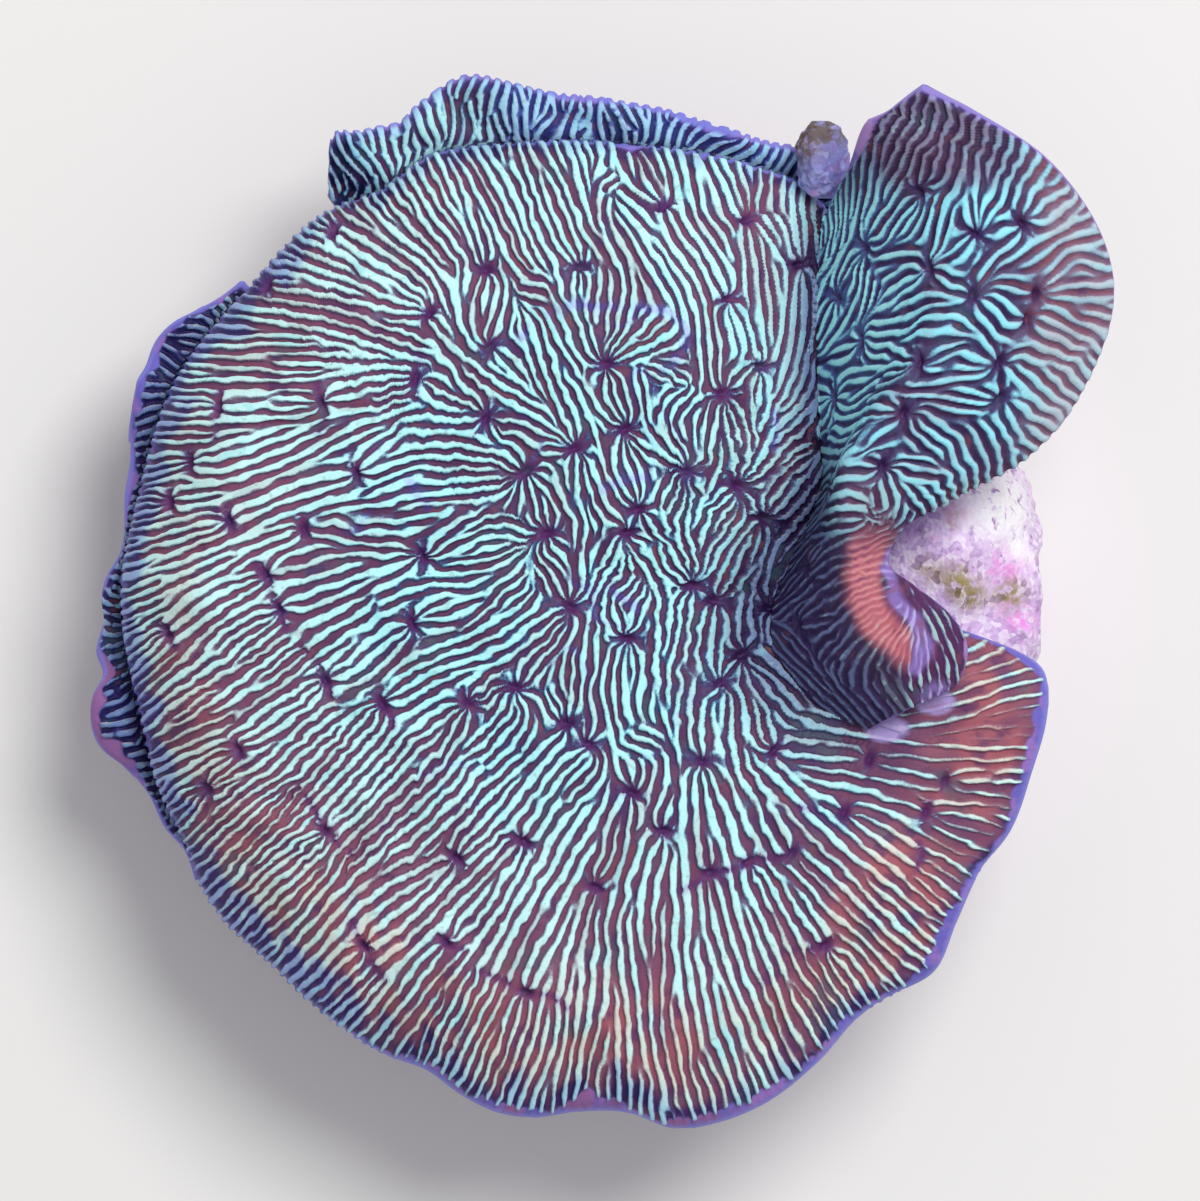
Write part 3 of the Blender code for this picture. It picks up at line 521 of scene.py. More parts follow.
def anneal(wave_u, wave_v, seed):
    """Ridges that follow a wave, given in turns per cell, and how strong each ridge is.

    Both are drawn out of noise: the ridges by oriented wave filters in several rounds, the strength
    by filters that smear noise along the ridges.
    """
    wave_u, wave_v = np.pad(wave_u, BORDER, mode="edge"), np.pad(wave_v, BORDER, mode="edge")
    shape = wave_u.shape
    right, down = np.fft.rfftfreq(shape[1])[None, :], np.fft.fftfreq(shape[0])[:, None]
    size = np.maximum(np.hypot(wave_u, wave_v), 1e-4)
    band = np.interp(-np.log(size), np.log(PERIODS), np.arange(len(PERIODS)))
    turn = np.mod(np.arctan2(wave_v, wave_u), np.pi) / np.pi * DIRECTIONS
    random = np.random.default_rng(seed)
    field, smear = random.standard_normal(shape), np.fft.rfft2(random.standard_normal(shape))
    smear_width, smear_length = STREAK[0] / np.median(size), STREAK[1]
    filters, strength = [], 0
    for k in range(DIRECTIONS):
        apart = np.abs(turn - k)
        near_turn = np.clip(1 - np.minimum(apart, DIRECTIONS - apart), 0, 1)
        if near_turn.max() < 1e-3:
            continue
        cosine, sine = math.cos(math.pi * k / DIRECTIONS), math.sin(math.pi * k / DIRECTIONS)
        lengthwise, sideways = right * cosine + down * sine, down * cosine - right * sine
        streak = np.exp(-((lengthwise * smear_width) ** 2 + (sideways * smear_length) ** 2) * 4)
        strength = strength + near_turn * np.fft.irfft2(smear * streak, s=shape)
        for j, period in enumerate(PERIODS):
            weight = near_turn * np.clip(1 - np.abs(band - j), 0, 1)
            if weight.max() < 1e-3:
                continue
            aside, spread = sideways * period / SIDE_SPREAD, 0
            for sign in (-1, 1):
                off = (lengthwise - sign / period) * period / PERIOD_SPREAD
                spread = spread + np.exp(-(off**2 + aside**2) / 2)
            filters.append((weight.astype(np.float32), spread.astype(np.float32)))
    for turn_number in range(ROUNDS):
        spectrum = np.fft.rfft2(field)
        field = sum(weight * np.fft.irfft2(spectrum * spread, s=shape) for weight, spread in filters)
        field /= np.sqrt((field**2).mean())
        if turn_number < ROUNDS - 1:
            field = np.tanh(SQUASH * field)
    near = np.exp(-(right**2 + down**2) * (np.pi / np.median(size)) ** 2)
    swing = np.fft.irfft2(np.fft.rfft2(field**2) * near, s=shape)
    field = field / (QUIETEST + np.sqrt(np.maximum(swing, 0)))
    inner = slice(BORDER, -BORDER)
    return field[inner, inner], (strength / strength.std())[inner, inner]


def meander(shape, seed, fine=1.0):
    """Small wander of ridges in millimetres, in long kinks and in fine ones."""
    long_kinks = KINK[1] * clouds(shape, KINK[0] / NET_PITCH, seed)
    return long_kinks + FINE_KINK[1] * fine * clouds(shape, FINE_KINK[0] / NET_PITCH, seed + 1)


def calice_field(points, calices, ways):
    """How near points are to a calice, 1 at its centre: its pit, and the stain round it.

    A calice is drawn out across the ridges, which run in its way.
    """
    nearest = np.full(points.shape[:-1], 99.0)
    for calice, way in zip(calices, ways):
        away = points - calice
        nearest = np.minimum(nearest, 0.6 * (away**2).sum(-1) + 1.5 * (away @ way) ** 2)
    return np.exp(-nearest / CALICE_RADIUS**2), np.exp(-nearest / (1.6 * CALICE_RADIUS) ** 2)


def change(values, axis):
    """Change of values from point to point of a net, from two points on either side."""
    near = np.gradient(values, axis=axis)
    return near * 4 / 3 - (np.roll(near, 1, axis) + np.roll(near, -1, axis)) / 6


def ridge_fields(sheet, points, ridge):
    """A ridge value at every point, its slope along the sheet, and its level with that slope taken out.

    A finish reads all three, so that ridges curve smoothly between the points of a net.
    """
    step_u, step_v = change(sheet, 1), change(sheet, 0)
    rise_u, rise_v = change(ridge, 1)[..., None], change(ridge, 0)[..., None]
    pairs = ((step_u, step_u), (step_u, step_v), (step_v, step_v))
    uu, uv, vv = ((a * b).sum(-1)[..., None] for a, b in pairs)
    area = np.maximum(uu * vv - uv**2, 1e-9)
    slope = ((vv * rise_u - uv * rise_v) * step_u + (uu * rise_v - uv * rise_u) * step_v) / area
    steepness = np.linalg.norm(slope, axis=-1, keepdims=True)
    slope = slope * np.minimum(1, STEEPEST / np.maximum(steepness, 1e-6))
    return {"ridge": ridge, "slope": slope / MM, "level": ridge - (slope * points).sum(-1)}


def lip_field(distance, along_margin, width, seed):
    """The fleshy lip along a growing margin, wider here and narrower there."""
    wave = np.random.default_rng(seed).uniform(0, 2 * np.pi, 4)
    swell = sum(np.sin(along_margin * rate + shift) for rate, shift in zip((0.9, 1.7, 3.1, 5.3), wave)) / 2.4
    return smooth((width * (1 + 0.45 * swell) - distance) / 0.14 + 0.5)


def ridge_relief(ridge, lip, pit, soft=1.0):
    """Height of the tissue over the sheet: steep-sided ridges, pits at calices, none on the lip."""
    return RIDGE_HEIGHT * smooth(ridge / soft + 0.5) * (1 - lip) - CALICE_DEPTH * pit


# ---------------------------------------------------------------- meshes
def link(name, data):
    """A new object in the scene."""
    made = bpy.data.objects.new(name, data)
    bpy.context.scene.collection.objects.link(made)
    return made


def name_values(mesh, fields):
    """Gives every vertex its named values."""
    for title, values in fields.items():
        kind, slot = ("FLOAT_VECTOR", "vector") if title == "slope" else ("FLOAT", "value")
        mesh.attributes.new(title, kind, "POINT").data.foreach_set(slot, values.astype(np.float32).ravel())


def lay_net(name, points, fields, normals=None):
    """A mesh object over a net of points in millimetres, with named values at every point."""
    rows, columns = points.shape[:2]
    index = np.arange(rows * columns).reshape(rows, columns)
    corners = [index[:-1, :-1], index[:-1, 1:], index[1:, 1:], index[1:, :-1]]
    faces = np.stack(corners, -1).reshape(-1, 4)
    mesh = bpy.data.meshes.new(name)
    mesh.vertices.add(rows * columns)
    mesh.vertices.foreach_set("co", (points * MM).astype(np.float32).ravel())
    mesh.loops.add(faces.size)
    mesh.loops.foreach_set("vertex_index", faces.astype(np.int32).ravel())
    mesh.polygons.add(len(faces))
    mesh.polygons.foreach_set("loop_start", np.arange(0, faces.size, 4, dtype=np.int32))
    mesh.update(calc_edges=True)
    layer = mesh.uv_layers.new(name="OFBake")
    v, u = net_shares((rows, columns))
    flat = np.stack([u, v], -1).reshape(-1, 2)[faces.ravel()]
    layer.data.foreach_set("uv", flat.astype(np.float32).ravel())
    name_values(mesh, fields)
    mesh.shade_smooth()
    if normals is not None:
        mesh.normals_split_custom_set_from_vertices(normals.reshape(-1, 3))
    return link(name, mesh)


def finish_piece(piece, node, material):
    """Gives a piece its finish, hangs it on the root body and hides the solid that it stands for."""
    piece.data.materials.clear()
    piece.data.materials.append(material)
    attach(piece, "root")
    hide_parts(node)


def inside(points, node):
    """Points kept inside the box of the solid that they stand for."""
    low, high = (np.array(corner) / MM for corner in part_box(node))
    return np.clip(points, low, high)


# ---------------------------------------------------------------- finishes
SATIN, PLAIN = 0.25, 0.5        # share of the usual mirror reflection


def linear(hex_colour):
    """An sRGB hex colour as linear RGBA."""
    shares = [int(hex_colour[k:k + 2], 16) / 255 for k in (1, 3, 5)]
    return (*[c / 12.92 if c <= 0.04045 else ((c + 0.055) / 1.055) ** 2.4 for c in shares], 1.0)


def add(tree, kind, inputs=None, **settings):
    """Adds a node with its settings. An input is a value, or a socket to link from."""
    made = tree.nodes.new(kind)
    for title, value in settings.items():
        setattr(made, title, value)
    for title, value in (inputs or {}).items():
        if isinstance(value, bpy.types.NodeSocket):
            tree.links.new(value, made.inputs[title])
        else:
            made.inputs[title].default_value = value
    return made


def blank(name):
    """An empty material, its node tree and the place on the object."""
    material = bpy.data.materials.new(name)
    material.use_nodes = True
    material.node_tree.nodes.clear()
    return material, material.node_tree, add(material.node_tree, "ShaderNodeTexCoord").outputs["Object"]


def named(tree, title):
    """The value that the mesh holds by this name, 0 where it has none."""
    return add(tree, "ShaderNodeAttribute", attribute_name=title).outputs["Fac"]


def cover(tree, skin, roughness, ior, sheen, relief=None):
    """Ends a material with its surface. Its relief is (height, strength, depth in millimetres)."""
    settings = {"Base Color": skin, "Roughness": roughness, "IOR": ior, "Specular IOR Level": sheen}
    if relief:
        height, strength, depth = relief
        values = {"Height": height, "Strength": strength, "Distance": depth * MM}
        settings["Normal"] = add(tree, "ShaderNodeBump", values).outputs[0]
    surface = add(tree, "ShaderNodeBsdfPrincipled", settings).outputs[0]
    add(tree, "ShaderNodeOutputMaterial", {"Surface": surface})


def lay_colours(tree, base, coats):
    """Lays colours over a base, each by its mask: (hex colour or socket, mask socket)."""
    colour = base
    for coat, share in coats:
        coat = linear(coat) if isinstance(coat, str) else coat
        colour = add(tree, "ShaderNodeMix", {0: share, 6: colour, 7: coat}, data_type="RGBA").outputs[2]
    return colour


def mask(tree, value, start, end):
    """A mask that eases from 0 at start to 1 at end."""
    ramp = {"Value": value, "From Min": start, "From Max": end}
    return add(tree, "ShaderNodeMapRange", ramp, interpolation_type="SMOOTHSTEP").outputs["Result"]


def times(tree, *masks):
    """The product of masks."""
    product = masks[0]
    for factor in masks[1:]:
        product = add(tree, "ShaderNodeMath", {0: product, 1: factor}, operation="MULTIPLY").outputs[0]
    return product


def texture(tree, place, kind, size, output, **inputs):
    """A noise or cell texture whose features are about size millimetres across."""
    values = {"Vector": place, "Scale": 1 / (size * MM), **inputs}
    return add(tree, f"ShaderNodeTex{kind}", values).outputs[output]


def coral_tissue(name, open_colours, zones, lips, soft=1.0):
    """Living coral tissue over a finely ridged aragonite skeleton.

    Thin wet tissue is satin, not glossy. Each ridge carries pale fluorescent pigment on its crest and
    dark red pigment in the groove beside it, with shades between on its shoulder and foot, so every
    zone of the colony has four colours: groove, foot, shoulder and crest. The lips' three colours are
    the plain one, its blotches and its bright line. Where ridges are soft, the four run wider. Some zones are
    painted shade or painted light, and each ridge gets painted shade and a painted highlight on its flanks.
    """
    material, tree, place = blank(name)
    titles = ["ridge", "level", "lip", "brim", "rosy", "inky", "calm", *[title for title, colours in zones]]
    field = {title: named(tree, title) for title in titles}
    slope = add(tree, "ShaderNodeAttribute", attribute_name="slope").outputs["Vector"]
    blotch = texture(tree, place, "Noise", 1.6, "Fac", Detail=3.0)
    tint = texture(tree, place, "Noise", 2.6, "Fac", Detail=2.0)
    speck = texture(tree, place, "Noise", 0.35, "Fac", Detail=2.0)
    grain = texture(tree, place, "Noise", 0.12, "Fac", Detail=2.0)
    # Teeth along a septum are finer than 0.1 mm; they are drawn 0.25 mm apart so that they show.
    teeth = texture(tree, place, "Voronoi", 0.25, "Distance")
    jitter = add(tree, "ShaderNodeMapRange", {"Value": grain, "To Min": -0.35, "To Max": 0.35}).outputs[0]
    sloped = add(tree, "ShaderNodeVectorMath", {0: slope, 1: place}, operation="DOT_PRODUCT").outputs["Value"]
    curved = add(tree, "ShaderNodeMath", {0: field["level"], 1: sloped}, operation="ADD").outputs[0]
    ridge = add(tree, "ShaderNodeMix", {0: 0.5, 2: field["ridge"], 3: curved}).outputs[0]
    height = add(tree, "ShaderNodeMath", {0: ridge, 1: jitter}, operation="ADD").outputs[0]
    # Painted shade and highlight: the flank of a ridge away from the lamp is painted bluer and darker, the
    # flank towards it paler.
    towards = {0: slope, 1: LIT_SIDE}
    flank = add(tree, "ShaderNodeVectorMath", towards, operation="DOT_PRODUCT").outputs["Value"]

    stages = []
    for stage in range(4):
        coats = [(colours[stage], field[title]) for title, colours in zones if colours[stage]]
        stages.append(lay_colours(tree, linear(open_colours[stage]), coats))
    groove, foot, shoulder, crest = stages
    groove = lay_colours(tree, groove, [
        ("#42606c", times(tree, mask(tree, tint, 0.56, 0.68), 0.5)),
        ("#4a2d64", times(tree, mask(tree, blotch, 0.46, 0.34), 0.6)),
        ("#8a4c54", times(tree, mask(tree, blotch, 0.58, 0.70), 0.5)),
    ])
    lively = mask(tree, field["calm"], 1.0, 0.0)
    crest = lay_colours(tree, crest, [
        ("#8fdfe8", times(tree, lively, mask(tree, blotch, 0.56, 0.70), 0.45)),
        ("#9fbcb4", times(tree, mask(tree, speck, 0.58, 0.72), 0.5)),
    ])
    skin = lay_colours(tree, groove, [
        (foot, mask(tree, height, -0.85 * soft, -0.15)),
        (shoulder, mask(tree, height, -0.15, 0.35 * soft)),
        (crest, mask(tree, height, 0.15, 0.75 * soft)),
    ])
    # Bands on a ridge's lower and upper flank, where the painted shade and the painted highlight lie.
    painted_flank_shade = times(tree, lively, mask(tree, height, -0.8, -0.1), mask(tree, height, 0.55, 0.0))
    painted_flank_highlight = times(tree, lively, mask(tree, height, -0.2, 0.3), mask(tree, height, 1.0, 0.4))
    skin = lay_colours(tree, skin, [
        # painted shade on the flank away from the lamp
        ("#24466a", times(tree, painted_flank_shade, mask(tree, flank, 1.4 / MM, 11 / MM), 0.5)),
        # painted highlight on the flank towards the lamp
        ("#f0ead8", times(tree, painted_flank_highlight, mask(tree, flank, -1.4 / MM, -11 / MM), 0.36)),
        (lips[0], field["lip"]),
        (lips[1], times(tree, field["lip"], mask(tree, blotch, 0.46, 0.60))),
        ("#96608f", times(tree, field["lip"], field["rosy"], 0.8)),
        (lips[2], times(tree, field["lip"], field["brim"], 0.75)),
        # painted shade on the lip along the left margin, which rolls away from the lamp
        ("#4c469c", times(tree, field["lip"], field["inky"], 0.8)),
    ])
    relief = add(tree, "ShaderNodeMath", {0: grain, 1: teeth}, operation="ADD").outputs[0]
    cover(tree, skin, 0.5, 1.4, SATIN, (relief, 0.25, 0.06))
    return material


def bare_underside(name):
    """The colony's underside: thin pale tissue over smooth skeleton, with a lavender crust."""
    material, tree, place = blank(name)
    blotch = texture(tree, place, "Noise", 2.4, "Fac", Detail=4.0)
    grain = texture(tree, place, "Noise", 0.26, "Fac", Detail=3.0)
    skin = lay_colours(tree, linear("#8a74a6"), [
        ("#b7a2cf", mask(tree, blotch, 0.42, 0.60)),
        ("#70506c", mask(tree, blotch, 0.58, 0.72)),
        ("#5d4a72", times(tree, mask(tree, grain, 0.52, 0.70), 0.5)),
        ("#7069be", mask(tree, named(tree, "rim"), 0.9, 0.3)),
    ])
    cover(tree, skin, 0.6, 1.4, SATIN, (grain, 0.4, 0.12))
    return material


def coralline_stone(name, base, crust, pale, stain):
    """Porous reef limestone under a thin crust of pink coralline algae: matt, blotched and pitted."""
    material, tree, place = blank(name)
    algae, bare, bloom = (named(tree, title) for title in ("algae", "bare", "bloom"))
    patch = texture(tree, place, "Noise", 2.0, "Fac", Detail=5.0)
    fleck = texture(tree, place, "Noise", 0.5, "Fac", Detail=4.0)
    cell = texture(tree, place, "Voronoi", 0.34, "Color")
    grain = texture(tree, place, "Voronoi", 0.24, "Distance")
    facet = add(tree, "ShaderNodeSeparateColor", {0: cell}).outputs[0]
    skin = lay_colours(tree, linear(base), [
        (crust, mask(tree, patch, 0.44, 0.60)),
        (pale, times(tree, mask(tree, facet, 0.40, 0.90), 0.7)),
        ("#a983c0", times(tree, mask(tree, facet, 0.30, 0.05), 0.5)),
        ("#8b5f93", times(tree, mask(tree, fleck, 0.42, 0.26), 0.6)),
        ("#e795dd", times(tree, mask(tree, patch, 0.57, 0.66), mask(tree, facet, 0.35, 0.75), 0.6)),
        ("#f08ae6", times(tree, bloom, mask(tree, fleck, 0.36, 0.56))),
        ("#fffbff", times(tree, bare, mask(tree, fleck, 0.30, 0.46))),
        (stain, times(tree, algae, mask(tree, fleck, 0.30, 0.56), 0.9)),
        ("#5a4c2a", times(tree, algae, mask(tree, facet, 0.24, 0.10), 0.6)),
    ])
    cover(tree, skin, 0.85, 1.5, SATIN, (grain, 0.5, 0.1))
    return material


# ---------------------------------------------------------------- main plate
MARGIN_BLUE = [                 # (direction, width of the indigo band along the margin), partly the margin's own tint and partly painted shade
    (5, 0.3), (30, 0.7), (60, 0.8), (90, 0.8), (120, 0.9), (140, 1.1), (180, 1.0), (205, 1.2), (225, 1.4),
    (245, 1.7), (270, 1.9), (290, 1.5), (305, 0.9), (325, 0.5), (350, 0.3),
]
MARGIN_CREAM = [                # (direction, how cream the ridges are inside that band)
    (20, 0.0), (90, 0.0), (175, 0.15), (215, 0.4), (240, 0.7), (275, 0.9), (300, 0.6), (320, 0.9),
    (345, 1.0), (356, 0.9),
]
MARGIN_RED = [                  # (direction, how red the grooves are inside that band)
    (20, 0.0), (100, 0.0), (170, 0.2), (215, 0.45), (235, 0.4), (255, 0.5), (270, 0.55), (290, 0.2),
    (303, 0.2), (318, 0.75), (335, 0.95), (350, 0.8), (357, 0.3),
]
LIP_WIDTH = [                   # (direction, width of the fleshy lip)
    (5, 0.3), (60, 0.2), (100, 0.12), (150, 0.14), (180, 0.14), (205, 0.12), (240, 0.14), (255, 0.3),
    (264, 0.5), (270, 0.3), (273, 0.75), (279, 0.3), (286, 0.5), (300, 0.4), (313, 0.3), (318, 0.7),
    (323, 0.35), (340, 0.45), (356, 0.6),
]
RIDGE_BIAS = [                  # (direction, how much wider than the grooves ridges are out there)
    (20, 0.0), (90, 0.05), (150, 0.0), (200, -0.1), (240, -0.2), (275, -0.25), (310, -0.45),
    (330, -0.9), (350, -0.9),
]
SALMON_SPOTS = [                # (x, y, radius, strength) of red patches in the grooves
    (-10.9, -16.5, 1.7, 0.85), (-14.2, -12.0, 2.2, 0.35), (-18.4, -8.0, 1.6, 0.4), (-6.0, -19.8, 1.8, 0.4),
    (-0.5, -20.6, 2.6, 0.6), (3.4, -20.6, 2.2, 0.5), (13.4, -14.2, 1.8, 0.7), (16.2, -12.4, 1.8, 0.85),
    (18.4, -9.6, 1.5, 0.7), (17.6, -6.6, 1.7, 0.5), (-17.6, 4.6, 1.8, 0.2), (9.6, -17.6, 1.6, 0.3),
]
SEAMS = [                       # lilac seams where the growing edge once paused
    [(-3.7, 12.4), (-2.8, 13.3), (-1.5, 13.9), (0.0, 13.9), (2.0, 13.8), (3.3, 13.6), (4.1, 12.8),
     (4.0, 12.0)],
    [(0.1, 5.2), (1.2, 5.7), (2.2, 5.8)],
    [(3.0, 10.9), (3.6, 11.5)],
    [(0.3, 0.6), (1.0, 0.1), (1.7, -0.4)],
    [(-9.0, 5.6), (-8.6, 5.0), (-8.2, 4.4)],
    [(8.2, 8.9), (8.3, 8.0), (8.2, 7.4)],
]
WIDE_SPOTS = [                  # (x, y, radius, how much wider the ridges are spaced there)
    (-13, 2, 5, 0.11), (-21, 3, 3, -0.08), (6, -12, 5, 0.12), (-11, -15.5, 3, 0.10), (-17.5, -11, 3, -0.07),
    (14, -7, 4.5, 0.14), (0, -18, 6, 0.06), (4, 18.5, 3, 0.06), (-7, 12.5, 2, 0.10),
]


def level(x, y):
    """Points in plan as points at height 0."""
    return np.stack([x, y, 0 * x], -1)


def plate_ridges():
    """The plate's ridges and their strength, as maps over its plan."""
    cells = PLATE_MAP // 2
    pitch = 2 * PLATE_MAP_HALF / cells
    place = (np.arange(cells) + 0.5) * pitch - PLATE_MAP_HALF
    x, y = np.meshgrid(place, place)
    far = smooth((np.hypot(x - GROWTH_CENTRE[0], y - GROWTH_CENTRE[1]) - 8.4) / 9.6)
    wobble = 0.13 * clouds(x.shape, 2.0 / pitch, 11) + 0.13 * clouds(x.shape, 0.9 / pitch, 12)
    calices, outward = level(*np.array(PLATE_CALICES).T), heading(x, y, PLATE_STROKES)
    pull, wobble = 0.3 + 0.7 * far, wobble * (1 - 0.6 * far)
    waves = steer(level(x, y), calices, outward, pull, plate_spacing(x, y), wobble)
    return anneal(*[np.repeat(np.repeat(wave / 2, 2, 0), 2, 1) for wave in waves], seed=3)


def row_sides(nearest, side):
    """How strongly points feel a row of calices from its inner side, and from its outer side."""
    close = np.exp(-nearest / 1.5)
    return close * smooth(-side / 0.25), close * smooth(side / 0.25)


def plate_spacing(x, y):
    """Distance between the plate's ridges: wide inside a row of calices, narrow outside it."""
    wide = sum(more * blob(x, y, spot_x, spot_y, radius) for spot_x, spot_y, radius, more in WIDE_SPOTS)
    inner_side, outer_side = row_sides(*row_field(x, y))
    return PLATE_SPACING + wide + ROW_WIDENS * inner_side - ROW_NARROWS * outer_side


def disc_net(count):
    """A square net laid over a disc: share of the radius, and direction in degrees."""
    a, b = np.meshgrid(np.linspace(-1, 1, count), np.linspace(-1, 1, count))
    wide = np.abs(a) > np.abs(b)
    safe_a, safe_b = np.where(wide, a, 1.0), np.where(wide | (b == 0), 1.0, b)
    degrees = np.where(wide, 45 * b / safe_a, 90 - 45 * a / safe_b)
    degrees = degrees + 180 * np.where(wide, a < 0, b < 0)
    return np.maximum(np.abs(a), np.abs(b)), degrees


def plate_net(count):
    """A net of points in plan: evenly spread over the plate, with its last ones on the outline."""
    share, degrees = disc_net(count)
    even = sum(around(PLATE_OUTLINE, degrees + turn) for turn in range(-40, 41, 10)) / 9
    radius = around(PLATE_OUTLINE, degrees)
    near_margin = smooth((share - 0.5) / 0.5)
    return share * (even * (1 - near_margin) + radius * near_margin) / radius, degrees, radius


def plate_fields(x, y, distance, degrees, strength):
    """Where the plate's pigments and its painted shade lie, by place and by distance from its margin."""
    from_centre = np.hypot(x - GROWTH_CENTRE[0], y - GROWTH_CENTRE[1])
    blotch, thread = clouds(x.shape, 12, 41), clouds(x.shape, 34, 42)
    outer = smooth((from_centre - 8) / 9)
    band = window(distance, 1.7, 4.0, 1.5)
    weak = smooth(0.3 - strength)
    cream = around(MARGIN_CREAM, degrees) * band * (0.75 + 0.3 * blotch) * (0.6 + 0.6 * weak)
    salmon = sum(weight * blob(x, y, *spot) for *spot, weight in SALMON_SPOTS)
    salmon = np.maximum(salmon, around(MARGIN_RED, degrees) * window(distance, 1.2, 3.4, 1.5))
    salmon = salmon * (0.8 + 0.45 * blotch) * smooth((distance - 0.5) / 0.8)
    crest_line = np.exp(-(thread / 0.10) ** 2) * smooth(0.3 + 0.8 * clouds(x.shape, 50, 43)) * (1 - outer)
    seam = np.full(x.shape, 9.0)
    for line in SEAMS:
        for seam_x, seam_y in along(line, np.linspace(0, 1, 10 * len(line))):
            seam = np.minimum(seam, np.hypot(x - seam_x, y - seam_y))
    seam = np.exp(-(seam / 0.24) ** 2) * smooth(0.9 + 0.6 * blotch)
    # The margin band is partly the margin's own tint and partly painted shade of the rolled margin.
    margin_blue = smooth(1.4 - distance / around(MARGIN_BLUE, degrees) + 0.28 * blotch + 0.12 * strength)
    left = window(degrees % 360, 132, 236, 12)
    cool = 0.7 * blob(x, y, 0, 22, 7) + 0.7 * blob(x, y, 9, -11, 3.5)
    return {
        "warm": np.clip(outer * (1 - cool) + 0.12 * blotch, 0, 1),
        "thin": smooth((-strength - 0.25) / 1.0) * (0.45 + 0.45 * outer),
        "cream": np.clip(cream, 0, 1),
        "salmon": np.clip(salmon, 0, 1),
        "thread": np.clip(0.6 * crest_line + 0.85 * seam, 0, 1),
        "blue": margin_blue,
        # painted shade along the left, where the margin rolls down away from the lamp: a darker band and a
        # darker lip
        "indigo": margin_blue * left,
        "inky": left,
        "rosy": window(degrees % 360, 262, 288, 8) * smooth(0.6 + 0.6 * blotch),
        # painted shade in the valley at the foot of the side lobe
        "painted_shade": np.clip(valley(x, y, 1.5 + 1.3 * smooth((7 - y) / 5)) / 2.2, 0, 1) ** 1.2 * 0.96,
        "flesh": np.clip(smooth(3.0 - np.hypot((x - 13.6) / 1.0, (y + 6.1) / 0.6) * 2.4) * (y < -5.0)
                         + smooth(3.0 - np.hypot((x - 15.9) / 0.9, (y + 4.8) / 0.62) * 2.4), 0, 1),
    }


def build_plate(tissue, underside):
    """The plate's top in four quarters that share their normals, and its underside."""
    share, degrees, radius = plate_net(PLATE_NET)
    x, y = plate_plan(share, degrees)
    distance = (1 - share) * radius
    pattern, strength_map = plate_ridges()
    scale = PLATE_MAP / (2 * PLATE_MAP_HALF)
    outer = smooth((share - 0.5) / 0.3)
    row, column = (
        (place + meander(x.shape, seed) * (1 - 0.2 * outer) + PLATE_MAP_HALF) * scale - 0.5
        for place, seed in ((y, 51), (x, 53)))
    strength = read(strength_map, row, column)
    ways = heading(*np.array(PLATE_CALICES).T, PLATE_STROKES)
    pit, stain = calice_field(level(x, y), level(*np.array(PLATE_CALICES).T), ways)
    nearest, side = row_field(x, y)
    inner_side, outer_side = row_sides(nearest, side)
    row_gaps = smooth(0.9 + 0.7 * clouds(x.shape, 0.6 / NET_PITCH, 54))
    row_line = np.exp(-(nearest / 0.14) ** 2) * row_gaps
    strong = np.clip(strength, -STRONGEST, STRONGEST)
    ridge = read(pattern, row, column) + (STREAKS_WIDEN + 0.1 * outer) * strong
    ridge = ridge + 0.14 * clouds(x.shape, KNOT / NET_PITCH, 55) + PLATE_WIDE
    ridge = ridge - MARGIN_NARROWS * smooth(1 - distance / MARGIN_BAND)
    ridge = ridge + (around(RIDGE_BIAS, degrees) + 0.5 * inner_side - 0.1 * outer_side) * outer
    ridge = ridge - 1.2 * row_line - 0.5 * stain**STAIN_SHAPE - PIT_CUTS * pit
    stain = np.maximum(stain, 0.75 * np.exp(-(nearest / 0.22) ** 2) * row_gaps)
    lip = lip_field(distance, np.radians(degrees) * 22, around(LIP_WIDTH, degrees), 61)

    smooth_lip = smooth((around(LIP_WIDTH, degrees) - 0.15) / 0.12)
    fade = smooth(1 - distance / 1.2) * np.maximum(smooth(distance / 0.4), 1 - smooth_lip)
    notch = SCALLOP * (1 - smooth((ridge + 1.0) / 1.4)) * fade
    x, y = plate_plan(share * (1 - notch / radius), degrees)
    lumps = 0.09 * (clouds(x.shape, 2.0 / NET_PITCH, 57) - 1.5) * smooth(distance / 2)
    sheet = np.stack([x, y, plate_skin(x, y, distance) + lumps], -1)
    zones = plate_fields(x, y, distance, degrees, strength)
    relief = ridge_relief(ridge, lip, pit) * smooth(distance / 0.3) * (1 - 0.85 * zones["flesh"])
    points = inside(sheet + net_normals(sheet) * relief[..., None], "main_plate")
    normals = net_normals(points)
    fields = {
        **ridge_fields(sheet, points, ridge), "lip": lip, "calice": stain,
        "brim": smooth(1.5 - distance / PLATE_BRIM), **zones,
    }
    half = PLATE_NET // 2
    halves = {"front": slice(0, half + 1), "rear": slice(half, None)}
    sides = {"left": slice(0, half + 1), "right": slice(half, None)}
    for end, rows in halves.items():
        for side, columns in sides.items():
            cut = {title: values[rows, columns] for title, values in fields.items()}
            quarter = lay_net(f"plate_{end}_{side}", points[rows, columns], cut, normals[rows, columns])
            finish_piece(quarter, "main_plate", tissue)

    share, degrees = disc_net(PLATE_UNDERSIDE_NET)
    radius = around(PLATE_OUTLINE, degrees)
    x, y = plate_plan(share * (1 - DRAWN_IN / radius), degrees)
    distance = (1 - share) * radius
    growth = 0.05 * np.sin(share * 70 + 2.5 * np.sin(np.radians(degrees) * 3)) * smooth(distance / 2)
    below = np.stack([x, y, plate_skin(x, y, distance, below=True) + growth], -1)[:, ::-1]
    piece = lay_net("plate_underside", inside(below, "main_plate"), {"rim": distance[:, ::-1]})
    finish_piece(piece, "main_plate", underside)


